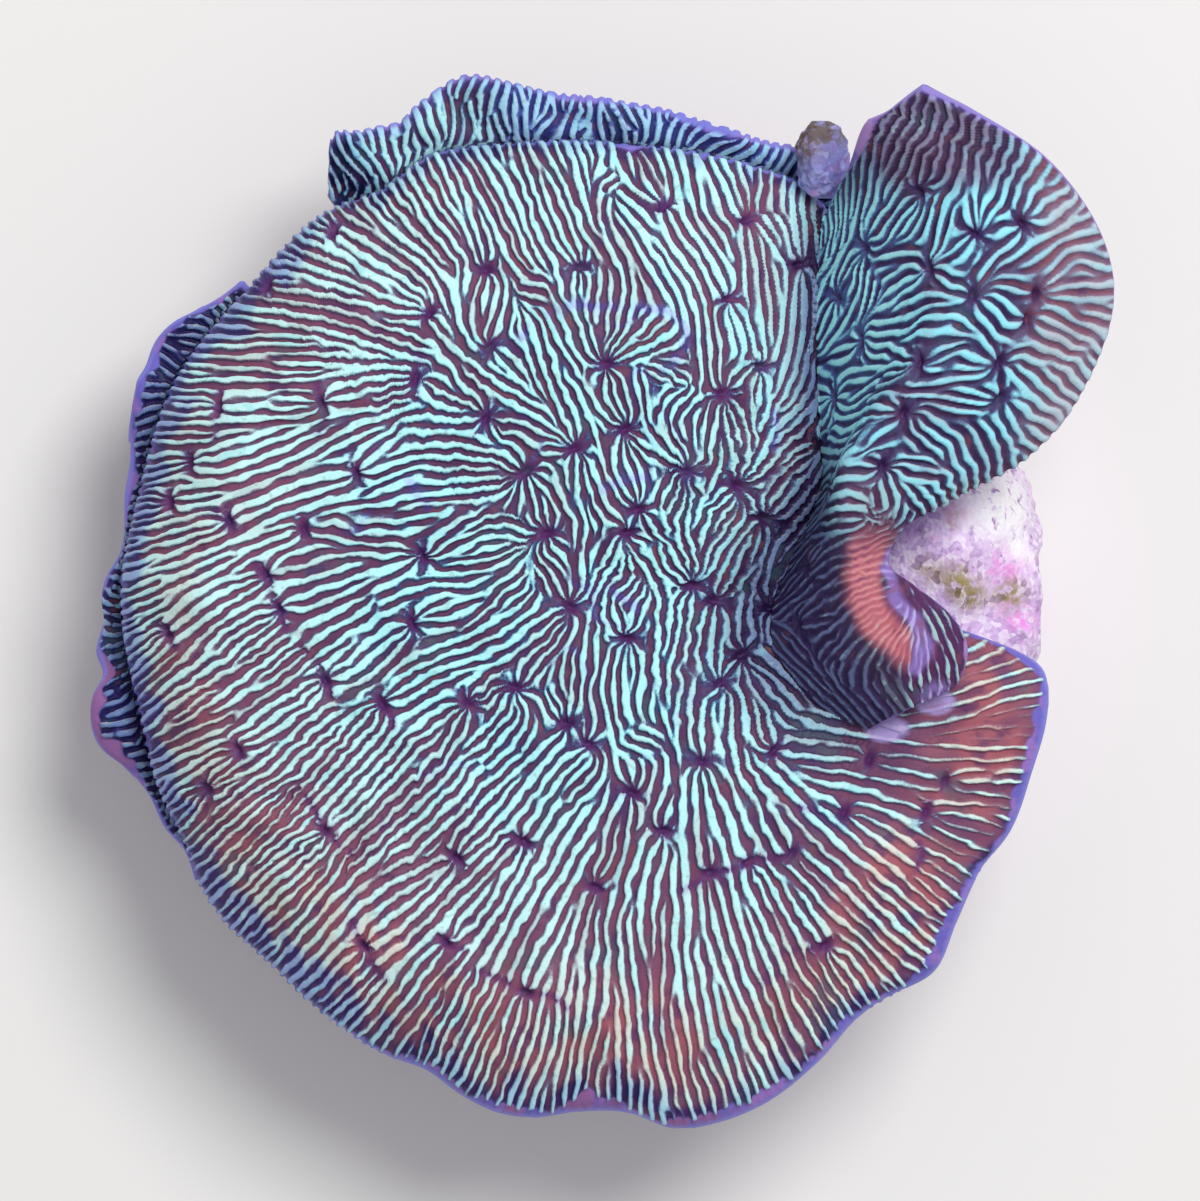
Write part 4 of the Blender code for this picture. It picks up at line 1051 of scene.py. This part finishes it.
# ---------------------------------------------------------------- side lobe
SALMON_BAND = [                 # (x, y) down the middle of the curl's salmon band
    (13.1, 3.3), (12.8, 2.8), (12.6, 2.0), (12.4, 0.8), (12.7, -0.4), (13.4, -1.3),
    (14.2, -2.0), (14.7, -2.3),
]
FLESH_BAND = [                  # the smooth lilac fold beside it
    (13.9, 2.2), (13.7, 1.2), (13.9, 0.2), (14.4, -0.5), (15.1, -1.5), (15.2, -2.4), (14.9, -3.2),
]


def from_line(x, y, line):
    """Distance in plan from a line."""
    nearest = np.full(x.shape, 1e9)
    for line_x, line_y in along(line, np.linspace(0, 1, 60)):
        nearest = np.minimum(nearest, (x - line_x) ** 2 + (y - line_y) ** 2)
    return np.sqrt(nearest)


def past_band(x, y):
    """Whether points lie on the curl's lip, on the far side of its salmon band."""
    return smooth((x - 13.2 - 0.25 * np.abs(y)) / 0.5)


def lobe_fields(sheet, u, v, distance, strength):
    """Where the side lobe's pigments, painted shade and painted light lie. v runs from its root to its
    margin, u from notch to tip.
    """
    x, y = sheet[..., 0], sheet[..., 1]
    curl = smooth((u - 0.5) / 0.1)
    blotch = clouds(x.shape, 14, 71)
    fringe = smooth((y - 18.2) / 2.2) * (1 - smooth((x - 18.0) / 2.8))
    wall = 1 - smooth((v - 0.22 - 0.10 * curl) / 0.2)
    flesh = smooth(1.5 - from_line(x, y, FLESH_BAND) / 0.36 + 0.2 * blotch) * smooth((v - 0.5) / 0.06) * 0.9
    tip = smooth(1.5 - np.hypot(x - 16.0, y + 4.7) / 0.8) * smooth((v - 0.55) / 0.1)
    salmon = smooth(1.5 - from_line(x, y, SALMON_BAND) / 0.88 + 0.10 * blotch) * smooth((v - 0.36) / 0.10)
    salmon = salmon * (0.05 + 0.95 * smooth((4.2 - y) / 2.5))
    past = past_band(x, y)
    corner = smooth((y - 18) / 2) * smooth(1.5 - (x - 11) / 2.2)
    near_curl = smooth(1.3 - distance / 1.5) * smooth((8 - y) / 3) * (1 - curl)
    near_curl = np.maximum(near_curl, 0.85 * blob(x, y, 12.7, 4.6, 1.3))
    deep = smooth((u - 0.34) / 0.16)
    calm = salmon + flesh + 0.8 * curl * (1 - past) + 0.6 * wall + 0.7 * fringe + 0.7 * near_curl
    return {
        "warm": np.clip(smooth((x - 18.6) / 3.4) * (1 - curl) + 0.1 * blotch, 0, 1),
        "fringe": np.clip(fringe + 0.1 * blotch, 0, 1),
        "hem": near_curl,
        # painted shade on the curl's inner side
        "shade": curl * (1 - past),
        "curl": curl * past,
        "salmon": np.clip(salmon * (1 - flesh) * (1 - 0.5 * smooth((x - 14.3) / 0.8)), 0, 1),
        "thin": smooth((-strength - 0.4) / 1.0) * 0.6 * (1 - fringe),
        # the margin band: partly the margin's own tint, partly painted shade
        "blue": smooth(1.1 - distance / 0.4) * (1 - 0.5 * smooth((x - 20) / 2)),
        # painted light on the upper part of the steep wall, which faces away from the lamp
        "painted_light": 0.9 * wall * (1 - deep),
        # painted shade at the foot of the wall, down in the valley, and in the corner by the notch
        "painted_shade": np.clip(np.maximum(wall * (0.04 + 0.88 * deep), 0.7 * corner), 0, 1),
        "flesh": np.clip(flesh + tip, 0, 1),
        "calm": np.clip(calm, 0, 1),
    }


def lobe_spacing(sheet, curl):
    """Distance between the side lobe's ridges: wide at its right, fine on the curl."""
    band = smooth(1.5 - from_line(sheet[..., 0], sheet[..., 1], SALMON_BAND) / 0.9)
    widened = 0.06 * smooth((sheet[..., 0] - 15) / 5) * (1 - curl)
    return LOBE_SPACING + widened - 0.10 * curl - 0.15 * band


def build_lobe(tissue, underside):
    """The folded side lobe: its ridged top, and its smooth underside."""
    chart = lobe_sheet(*LOBE_MAP)
    v, u = net_shares(LOBE_MAP)
    places = [((chart[..., :2] - spot) ** 2).sum(-1).argmin() for spot in LOBE_CALICES]
    calices = chart.reshape(-1, 3)[places]
    outward = on_sheet(chart, heading(chart[..., 0], chart[..., 1], LOBE_STROKES))
    curl = smooth((u - 0.48) / 0.08)
    pull = 0.3 + 0.6 * np.maximum(curl, smooth((v - 0.75) / 0.2))
    spacing = lobe_spacing(chart, curl)
    straight = 1 - 0.5 * curl * smooth((v - 0.35) / 0.2)
    wobble = (0.15 * clouds(LOBE_MAP, 48, 21) + 0.13 * clouds(LOBE_MAP, 18, 22)) * straight
    pattern, strength_map = anneal(*steer(chart, calices, outward, pull, spacing, wobble), seed=5)

    sheet = lobe_sheet(*LOBE_NET)
    x, y = sheet[..., 0], sheet[..., 1]
    v, u = net_shares(LOBE_NET)
    normal = net_normals(sheet)
    reach, run = (
        np.insert(np.cumsum(np.linalg.norm(np.diff(sheet, axis=axis), axis=-1), axis), 0, 0.0, axis)
        for axis in (0, 1))
    distance = np.minimum(reach[-1] - reach, np.minimum(run, run[:, -1:] - run))
    fall = edge_fall(distance)[..., None]
    half = LOBE_THICKNESS / 2
    row, column = (
        place * (cells - 1) + meander(v.shape, seed, 0.35) / LOBE_MAP_PITCH
        for place, cells, seed in ((v, LOBE_MAP[0], 73), (u, LOBE_MAP[1], 75)))
    strength = read(strength_map, row, column)
    pit, stain = calice_field(sheet, calices, outward.reshape(-1, 3)[places])
    curl = smooth((u - 0.5) / 0.08)
    strong = np.clip(strength, -STRONGEST, STRONGEST)
    ridge = read(pattern, row, column) + STREAKS_WIDEN * strong + LOBE_WIDE
    ridge = ridge + 0.10 * clouds(v.shape, KNOT / NET_PITCH, 77) - 0.7 * stain**STAIN_SHAPE - PIT_CUTS * pit
    ridge = ridge - 0.25 * smooth((y - 19) / 2) * (1 - smooth((x - 17.5) / 3))
    sparse = 0.55 + 0.9 * smooth((y + 0.9) / 1.2) + 0.45 * clouds(v.shape, 0.9 / NET_PITCH, 78)
    ridge = ridge - 0.25 * curl - curl * past_band(x, y) * sparse
    width = 0.14 + 0.12 * curl + 0.6 * blob(x, y, 12.2, 21.8, 0.9)
    lip = lip_field(distance, run, width, 79)
    zones = lobe_fields(sheet, u, v, distance, strength)
    ridge = ridge * (1 - 0.2 * zones["salmon"]) * (1 - 0.25 * zones["shade"])
    flat = (1 - 0.7 * zones["salmon"]) * (1 - 0.85 * zones["flesh"]) * (1 - 0.5 * zones["shade"])
    flat = flat * (0.5 + 0.5 * smooth((v - 0.08) / 0.25))
    relief = ridge_relief(ridge, lip, pit, 1.7) * smooth(distance / 0.3) * flat
    points = sheet - normal * half * (1 - fall) + normal * relief[..., None]
    points = inside(points, "side_lobe")
    fields = {
        **ridge_fields(sheet, points, ridge), "lip": lip, "calice": stain**0.75,
        "brim": smooth(1.5 - distance / THIN_BRIM), **zones,
    }
    piece = lay_net("lobe_top", points, fields, net_normals(points))
    finish_piece(piece, "side_lobe", tissue)

    coarse = (slice(None, None, 2), slice(None, None, -2))
    below = (sheet - normal * half * (1 + fall))[coarse]
    over_plate = plate_polar(below[..., 0], below[..., 1])[0] < 1.02
    floor = plate_top(below[..., 0], below[..., 1])
    below[..., 2] = np.where(over_plate, np.maximum(below[..., 2], floor), below[..., 2])
    piece = lay_net("lobe_underside", inside(below, "side_lobe"), {"rim": distance[coarse]})
    finish_piece(piece, "side_lobe", underside)


# ---------------------------------------------------------------- tiers
REAR_LIP = [(55, 0.05), (75, 0.12), (90, 0.05), (100, 0.02), (120, 0.04)]    # (direction, lip's width)
LEFT_LIP = [
    (135, 0.15), (141, 0.3), (150, 0.35), (158, 0.45), (163, 0.3), (174, 0.12), (186, 0.15), (190, 0.5),
    (195, 0.85), (199, 0.7), (203, 0.35), (210, 0.25), (217, 0.15),
]


def build_tier(name, reach, rise, lips, seed, tissue, underside):
    """A tier under the plate's margin: ridged above and smooth below."""
    rows, length = TIER_NET
    first, last = reach[0][0], reach[-1][0]
    t, degrees = np.meshgrid(np.linspace(0, 1, rows), np.linspace(last, first, length), indexing="ij")
    margin = around(PLATE_OUTLINE, degrees)
    beyond = around(reach, degrees)
    tucked, out = 1 - np.clip(t / TUCKED, 0, 1), np.clip((t - TUCKED) / (1 - TUCKED), 0, 1)
    radius = margin - TIER_TUCK * tucked + beyond * out
    x, y = plate_plan(radius / margin, degrees)
    sheet = np.stack([x, y, tier_top(x, y, rise)], -1)
    normal = net_normals(sheet)
    arc = np.radians(np.minimum(degrees - first, last - degrees)) * radius
    distance = np.minimum(margin + beyond - radius, arc)
    fall = edge_fall(distance)[..., None]
    down, right = np.linspace(0, rows - 1, rows * 2), np.linspace(0, length - 1, length * 2)
    chart = read(sheet, *np.meshgrid(down, right, indexing="ij"))
    outward = unit(np.gradient(chart, axis=0))
    wobble = 0.2 * clouds(chart.shape[:2], 14, seed) + 0.3 * clouds(chart.shape[:2], 60, seed + 3)
    pattern, strength_map = anneal(*steer(chart, [], outward, 1.0, TIER_SPACING, wobble), seed=seed)
    strength = strength_map[::2, ::2]
    ridge = pattern[::2, ::2] + 0.3 * strength + TIER_WIDE
    lip = lip_field(distance, np.radians(degrees) * 24, around(lips, degrees), seed)
    left = smooth((degrees - 128) / 4)
    ridge = ridge - left * (0.3 + 0.35 * clouds(ridge.shape, 9, seed + 7))
    half = TIER_THICKNESS / 2
    relief = ridge_relief(ridge, lip, 0) * smooth(distance / 0.2)
    scallop = SCALLOP * (1 - smooth((ridge + 1.0) / 1.4)) * smooth(1 - distance / 0.8) * (1 - left)
    outwards = level(np.cos(np.radians(degrees)), np.sin(np.radians(degrees)))
    raised = sheet - normal * half * (1 - fall) + normal * relief[..., None]
    points = inside(raised - outwards * scallop[..., None], name)
    outside = radius - margin
    fields = {
        **ridge_fields(sheet, points, ridge), "lip": lip, "brim": smooth(1.5 - distance / THIN_BRIM),
        "thin": smooth((-strength - 0.4) / 1.0) * 0.6, "violet": 1 - smooth((degrees - 95) / 6),
        "navy": smooth((degrees - 111) / 4), "dull": left, "rosy": window(degrees, 188, 200, 3),
        # painted shade on the tier under the plate's margin and close past it; the band along the tier's
        # margin is partly its own tint, partly painted shade
        "painted_shade": 0.9 * smooth(1 - (outside + 0.3) / 0.8), "blue": 0.7 * smooth(1.2 - distance / 0.5),
    }
    piece = lay_net(f"{name}_top", points, fields, net_normals(points))
    finish_piece(piece, name, tissue)
    kept = np.r_[0:rows - 8:4, rows - 8:rows]
    drawn_in = outwards * (DRAWN_IN * smooth(1.5 - distance / 0.5) * (1 - left))[..., None]
    below = (sheet - normal * half - np.array((0, 0, half)) * fall - drawn_in)[kept]
    closed = np.concatenate([below, points[-1:]])[:, ::-1]
    rim = np.concatenate([distance[kept], distance[-1:]])[:, ::-1]
    piece = lay_net(f"{name}_underside", inside(closed, name), {"rim": rim})
    finish_piece(piece, name, underside)


# ---------------------------------------------------------------- stone and nodule
ALGAE_SPOTS = [                 # (x, y, radius) of olive turf algae
    (17.0, 0.9, 0.6), (15.5, 1.5, 0.35), (17.8, 0.2, 0.4), (19.6, 0.3, 0.5), (16.8, 4.0, 0.25),
]


def lumpy_ball(name, subdivisions, centre, radii, squareness, lumps):
    """A ball stretched to three radii with noise lumps, each (height, size), and its vertices."""
    ball = bmesh.new()
    bmesh.ops.create_icosphere(ball, subdivisions=subdivisions, radius=1.0)
    mesh = bpy.data.meshes.new(name)
    places = []
    for vertex in ball.verts:
        out = vertex.co.normalized()
        widen = math.hypot(out.x, out.y) ** (squareness - 1) if abs(out.z) < 0.999 else 0.0
        spread = (radii[0] * out.x * widen, radii[1] * out.y * widen, radii[2] * out.z)
        place = Vector(centre) + Vector(spread)
        rise = sum(height * noise.noise(place / size) for height, size in lumps)
        places.append(place + out * rise)
    ball.to_mesh(mesh)
    ball.free()
    return mesh, np.array(places)


def place_ball(name, mesh, points, fields):
    """Puts a ball's vertices in place and links it, with named values at every vertex."""
    mesh.vertices.foreach_set("co", (points * MM).astype(np.float32).ravel())
    name_values(mesh, fields)
    mesh.update()
    mesh.shade_smooth()
    return link(name, mesh)


def build_stone(material):
    """The overgrown stone, fitted under the plate and cut flat below."""
    lumps = [(STONE_LUMP, STONE_LUMP_SIZE), (0.5, 1.4), (0.28, 0.55), (0.12, 0.25)]
    mesh, points = lumpy_ball("base_stone_crust", 6, STONE_CENTRE, STONE_RADII, STONE_SQUARENESS, lumps)
    x, y, z = points.T
    outside = smooth((plate_polar(x, y)[0] - 1.06) / 0.12)
    under = plate_under(x, y) - STONE_CLEARANCE
    rough = np.array([noise.noise(Vector((a, b, 3.0)) / 3.0) + 0.5 * noise.noise(Vector((a, b, 5.0)) / 0.9)
                      for a, b in zip(x, y)])
    shoulder = STONE_SHOULDER + 0.5 * rough
    points[:, 2] = np.clip(z, 0, under + outside * np.maximum(shoulder - under, 0))
    fields = {
        "algae": np.clip(sum(1.3 * blob(x, y, *spot) for spot in ALGAE_SPOTS), 0, 1),
        "bare": np.clip(2.2 * blob(x, y, 19.1, 4.7, 1.0) + 0.9 * blob(x, y, 20.1, 2.4, 0.5), 0, 1),
        "bloom": np.clip(1.4 * blob(x, y, 19.5, 1.8, 0.5) + blob(x, y, 20.2, -1.0, 0.5), 0, 1),
    }
    piece = place_ball("base_stone_crust", mesh, inside(points, "base_stone"), fields)
    finish_piece(piece, "base_stone", material)


def build_nodule(material):
    """The small stone nodule in the notch."""
    low, high = (np.array(corner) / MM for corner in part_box("notch_nodule"))
    lumps = [(NODULE_LUMP, NODULE_LUMP_SIZE), (0.2, 0.45), (0.1, 0.2)]
    mesh, points = lumpy_ball("notch_nodule_crust", 5, (low + high) / 2, (high - low) / 2, 1.0, lumps)
    fields = {"algae": smooth((points[:, 1] - 0.5 * points[:, 0] - 15.2) / 1.6)}
    piece = place_ball("notch_nodule_crust", mesh, inside(points, "notch_nodule"), fields)
    finish_piece(piece, "notch_nodule", material)


# ---------------------------------------------------------------- stage
FLOOR_SIZE = 3.0
LAMP_WIDTH, LAMP_POWER, LAMP_PLACE = 0.26, 2.05, (0.17, 0.22, 0.48)
DAYLIGHT = 0.5                  # strength of the even light from all round
VIEW_WIDTH, VIEW_LEVEL, VIEW_DISTANCE = 0.057, 0.015, 0.48


def build_stage():
    """A pale floor, a soft lamp high above, soft light all round, and the camera looking down."""
    material, tree, place = blank("pale_floor")
    cloud = texture(tree, place, "Noise", 160.0, "Fac")
    colour = lay_colours(tree, linear("#eceae6"), [("#f2f1ee", cloud)])
    cover(tree, colour, 0.9, 1.5, PLAIN)
    mesh = bpy.data.meshes.new("floor")
    wide = bmesh.new()
    bmesh.ops.create_grid(wide, x_segments=1, y_segments=1, size=FLOOR_SIZE / 2)
    wide.to_mesh(mesh)
    wide.free()
    mesh.materials.append(material)
    link("floor", mesh)

    lamp = bpy.data.lights.new("softbox", "AREA")
    lamp.shape, lamp.size, lamp.energy = "DISK", LAMP_WIDTH, LAMP_POWER
    softbox = link("softbox", lamp)
    softbox.location = LAMP_PLACE
    beam = Vector((0, 0, VIEW_LEVEL)) - softbox.location
    softbox.rotation_euler = beam.to_track_quat("-Z", "Y").to_euler()
    world = bpy.data.worlds.new("studio")
    world.use_nodes = True
    world.node_tree.nodes["Background"].inputs[0].default_value = linear("#f6f7fb")
    world.node_tree.nodes["Background"].inputs[1].default_value = DAYLIGHT
    bpy.context.scene.world = world

    eye = bpy.data.cameras.new("camera")
    eye.lens = eye.sensor_width * VIEW_DISTANCE / VIEW_WIDTH
    camera = link("camera", eye)
    camera.location = (0.0, 0.0, VIEW_LEVEL + VIEW_DISTANCE)
    bpy.context.scene.camera = camera
    bpy.context.scene.view_settings.view_transform = "Standard"


# Colours of groove, foot, shoulder and crest, by zone. A later zone lies over an earlier one. Most are
# pigment;
# the zones of the valley, of a tier's tucked part, of the curl's inner side and of the plate's left margin
# are painted shade, the zone of the lobe's upper wall is painted light, and the margin bands are partly
# painted shade.
PLATE_ZONES = [
    ("warm", ("#814d6d", "#746482", "#a6c2ce", "#cefffe")),
    ("thin", (None, "#70546e", "#9c94aa", "#c2dede")),
    ("cream", ("#7e4a62", "#84667a", "#bdb6ae", "#e2f0d8")),
    ("salmon", ("#a65e6a", "#a86c7a", "#ba9298", "#e0dcd2")),
    ("thread", ("#4b3d8c", "#5a58a4", "#8b95d6", "#b2c4f0")),
    # partly the margin's own tint, partly painted shade of the rolled margin
    ("blue", ("#37235a", "#4b3d78", "#7488b4", "#a4d2e8")),
    # painted shade along the left margin, which rolls away from the lamp
    ("indigo", ("#40306e", "#54468c", "#767ab8", "#98aee0")),
    ("calice", ("#5a2a68", "#5c3278", "#8070b4", "#a89cd0")),
    # painted shade in the valley by the side lobe
    ("painted_shade", ("#20123a", "#2f2149", "#46406a", "#6c7ca8")),
    ("flesh", ("#ae9ad2", "#ae9ad2", "#b8a6da", "#c4b4e2")),
]
LOBE_ZONES = [
    ("warm", ("#8b5a6e", "#8c768e", "#9c9cb2", "#b8cad6")),
    ("fringe", ("#3f2848", "#4e395c", "#645674", "#7f7a98")),
    ("hem", ("#5a3252", "#6a4864", "#848c9c", "#a0bcc4")),
    ("thin", (None, None, "#6f86a4", "#97c0d6")),
    # painted shade on the curl's inner side
    ("shade", ("#33243f", "#3e304e", "#4b4462", "#5f6580")),
    ("curl", ("#562d58", "#643a6a", "#7c6594", "#a4c4c8")),
    ("salmon", ("#b15e6c", "#bb6b77", "#c5767f", "#d28d92")),
    # partly the margin's own tint, partly painted shade
    ("blue", ("#3a2466", "#54448c", "#7d78c4", "#a49ce0")),
    ("calice", ("#3e1f50", "#442a64", "#6f6aa8", "#8fa4cc")),
    # painted light on the upper part of the steep wall
    ("painted_light", ("#3c2c5c", "#50609a", "#84c8e8", "#b4ffff")),
    # painted shade at the wall's foot in the valley
    ("painted_shade", ("#261840", "#342852", "#48446c", "#626e98")),
    ("flesh", ("#8c72ba", "#967cc4", "#a48cd2", "#b4a0e0")),
]
TIER_ZONES = [
    ("violet", ("#3a3e80", "#4c5ca2", "#7c9ad6", "#b4e4ff")),
    ("navy", ("#141840", "#202f5c", "#4c74a0", "#92d2ea")),
    ("thin", (None, None, "#6c7ca8", "#93b4d4")),
    ("dull", ("#1a154c", "#272364", "#3f407e", "#6c84b6")),
    # partly the margin's own tint, partly painted shade
    ("blue", ("#342c70", "#463f8a", "#6674bc", "#98bdee")),
    # painted shade under the plate's margin
    ("painted_shade", ("#1b1030", "#1f1a3c", "#2c3054", "#46587c")),
]
PLATE_LIPS, LOBE_LIPS = ("#6f66c0", "#9a74c2", "#8486e0"), ("#7d68b4", "#a880c0", "#9a8ad8")
plate_tissue = coral_tissue(
    "plate_tissue", ("#5b365b", "#404b78", "#78b4cc", "#b6fbfd"), PLATE_ZONES, PLATE_LIPS)
lobe_tissue = coral_tissue(
    "lobe_tissue", ("#38224e", "#484a72", "#6ca4c4", "#98ecfc"), LOBE_ZONES, LOBE_LIPS, 1.5)
tier_tissue = coral_tissue(
    "tier_tissue", ("#643c62", "#505c88", "#90c8de", "#c4ffff"), TIER_ZONES, PLATE_LIPS)
underside_skin = bare_underside("underside_skin")
build_plate(plate_tissue, underside_skin)
build_lobe(lobe_tissue, underside_skin)
build_tier("rear_tier", REAR_REACH, REAR_RISE, REAR_LIP, 31, tier_tissue, underside_skin)
build_tier("left_tier", LEFT_REACH, LEFT_RISE, LEFT_LIP, 32, tier_tissue, underside_skin)
build_stone(coralline_stone("coralline_stone", "#dfc0ec", "#ecd4f8", "#fdf3ff", "#958430"))
build_nodule(coralline_stone("brown_nodule", "#8486c4", "#a29cdc", "#b4b8ee", "#64543f"))
build_stage()
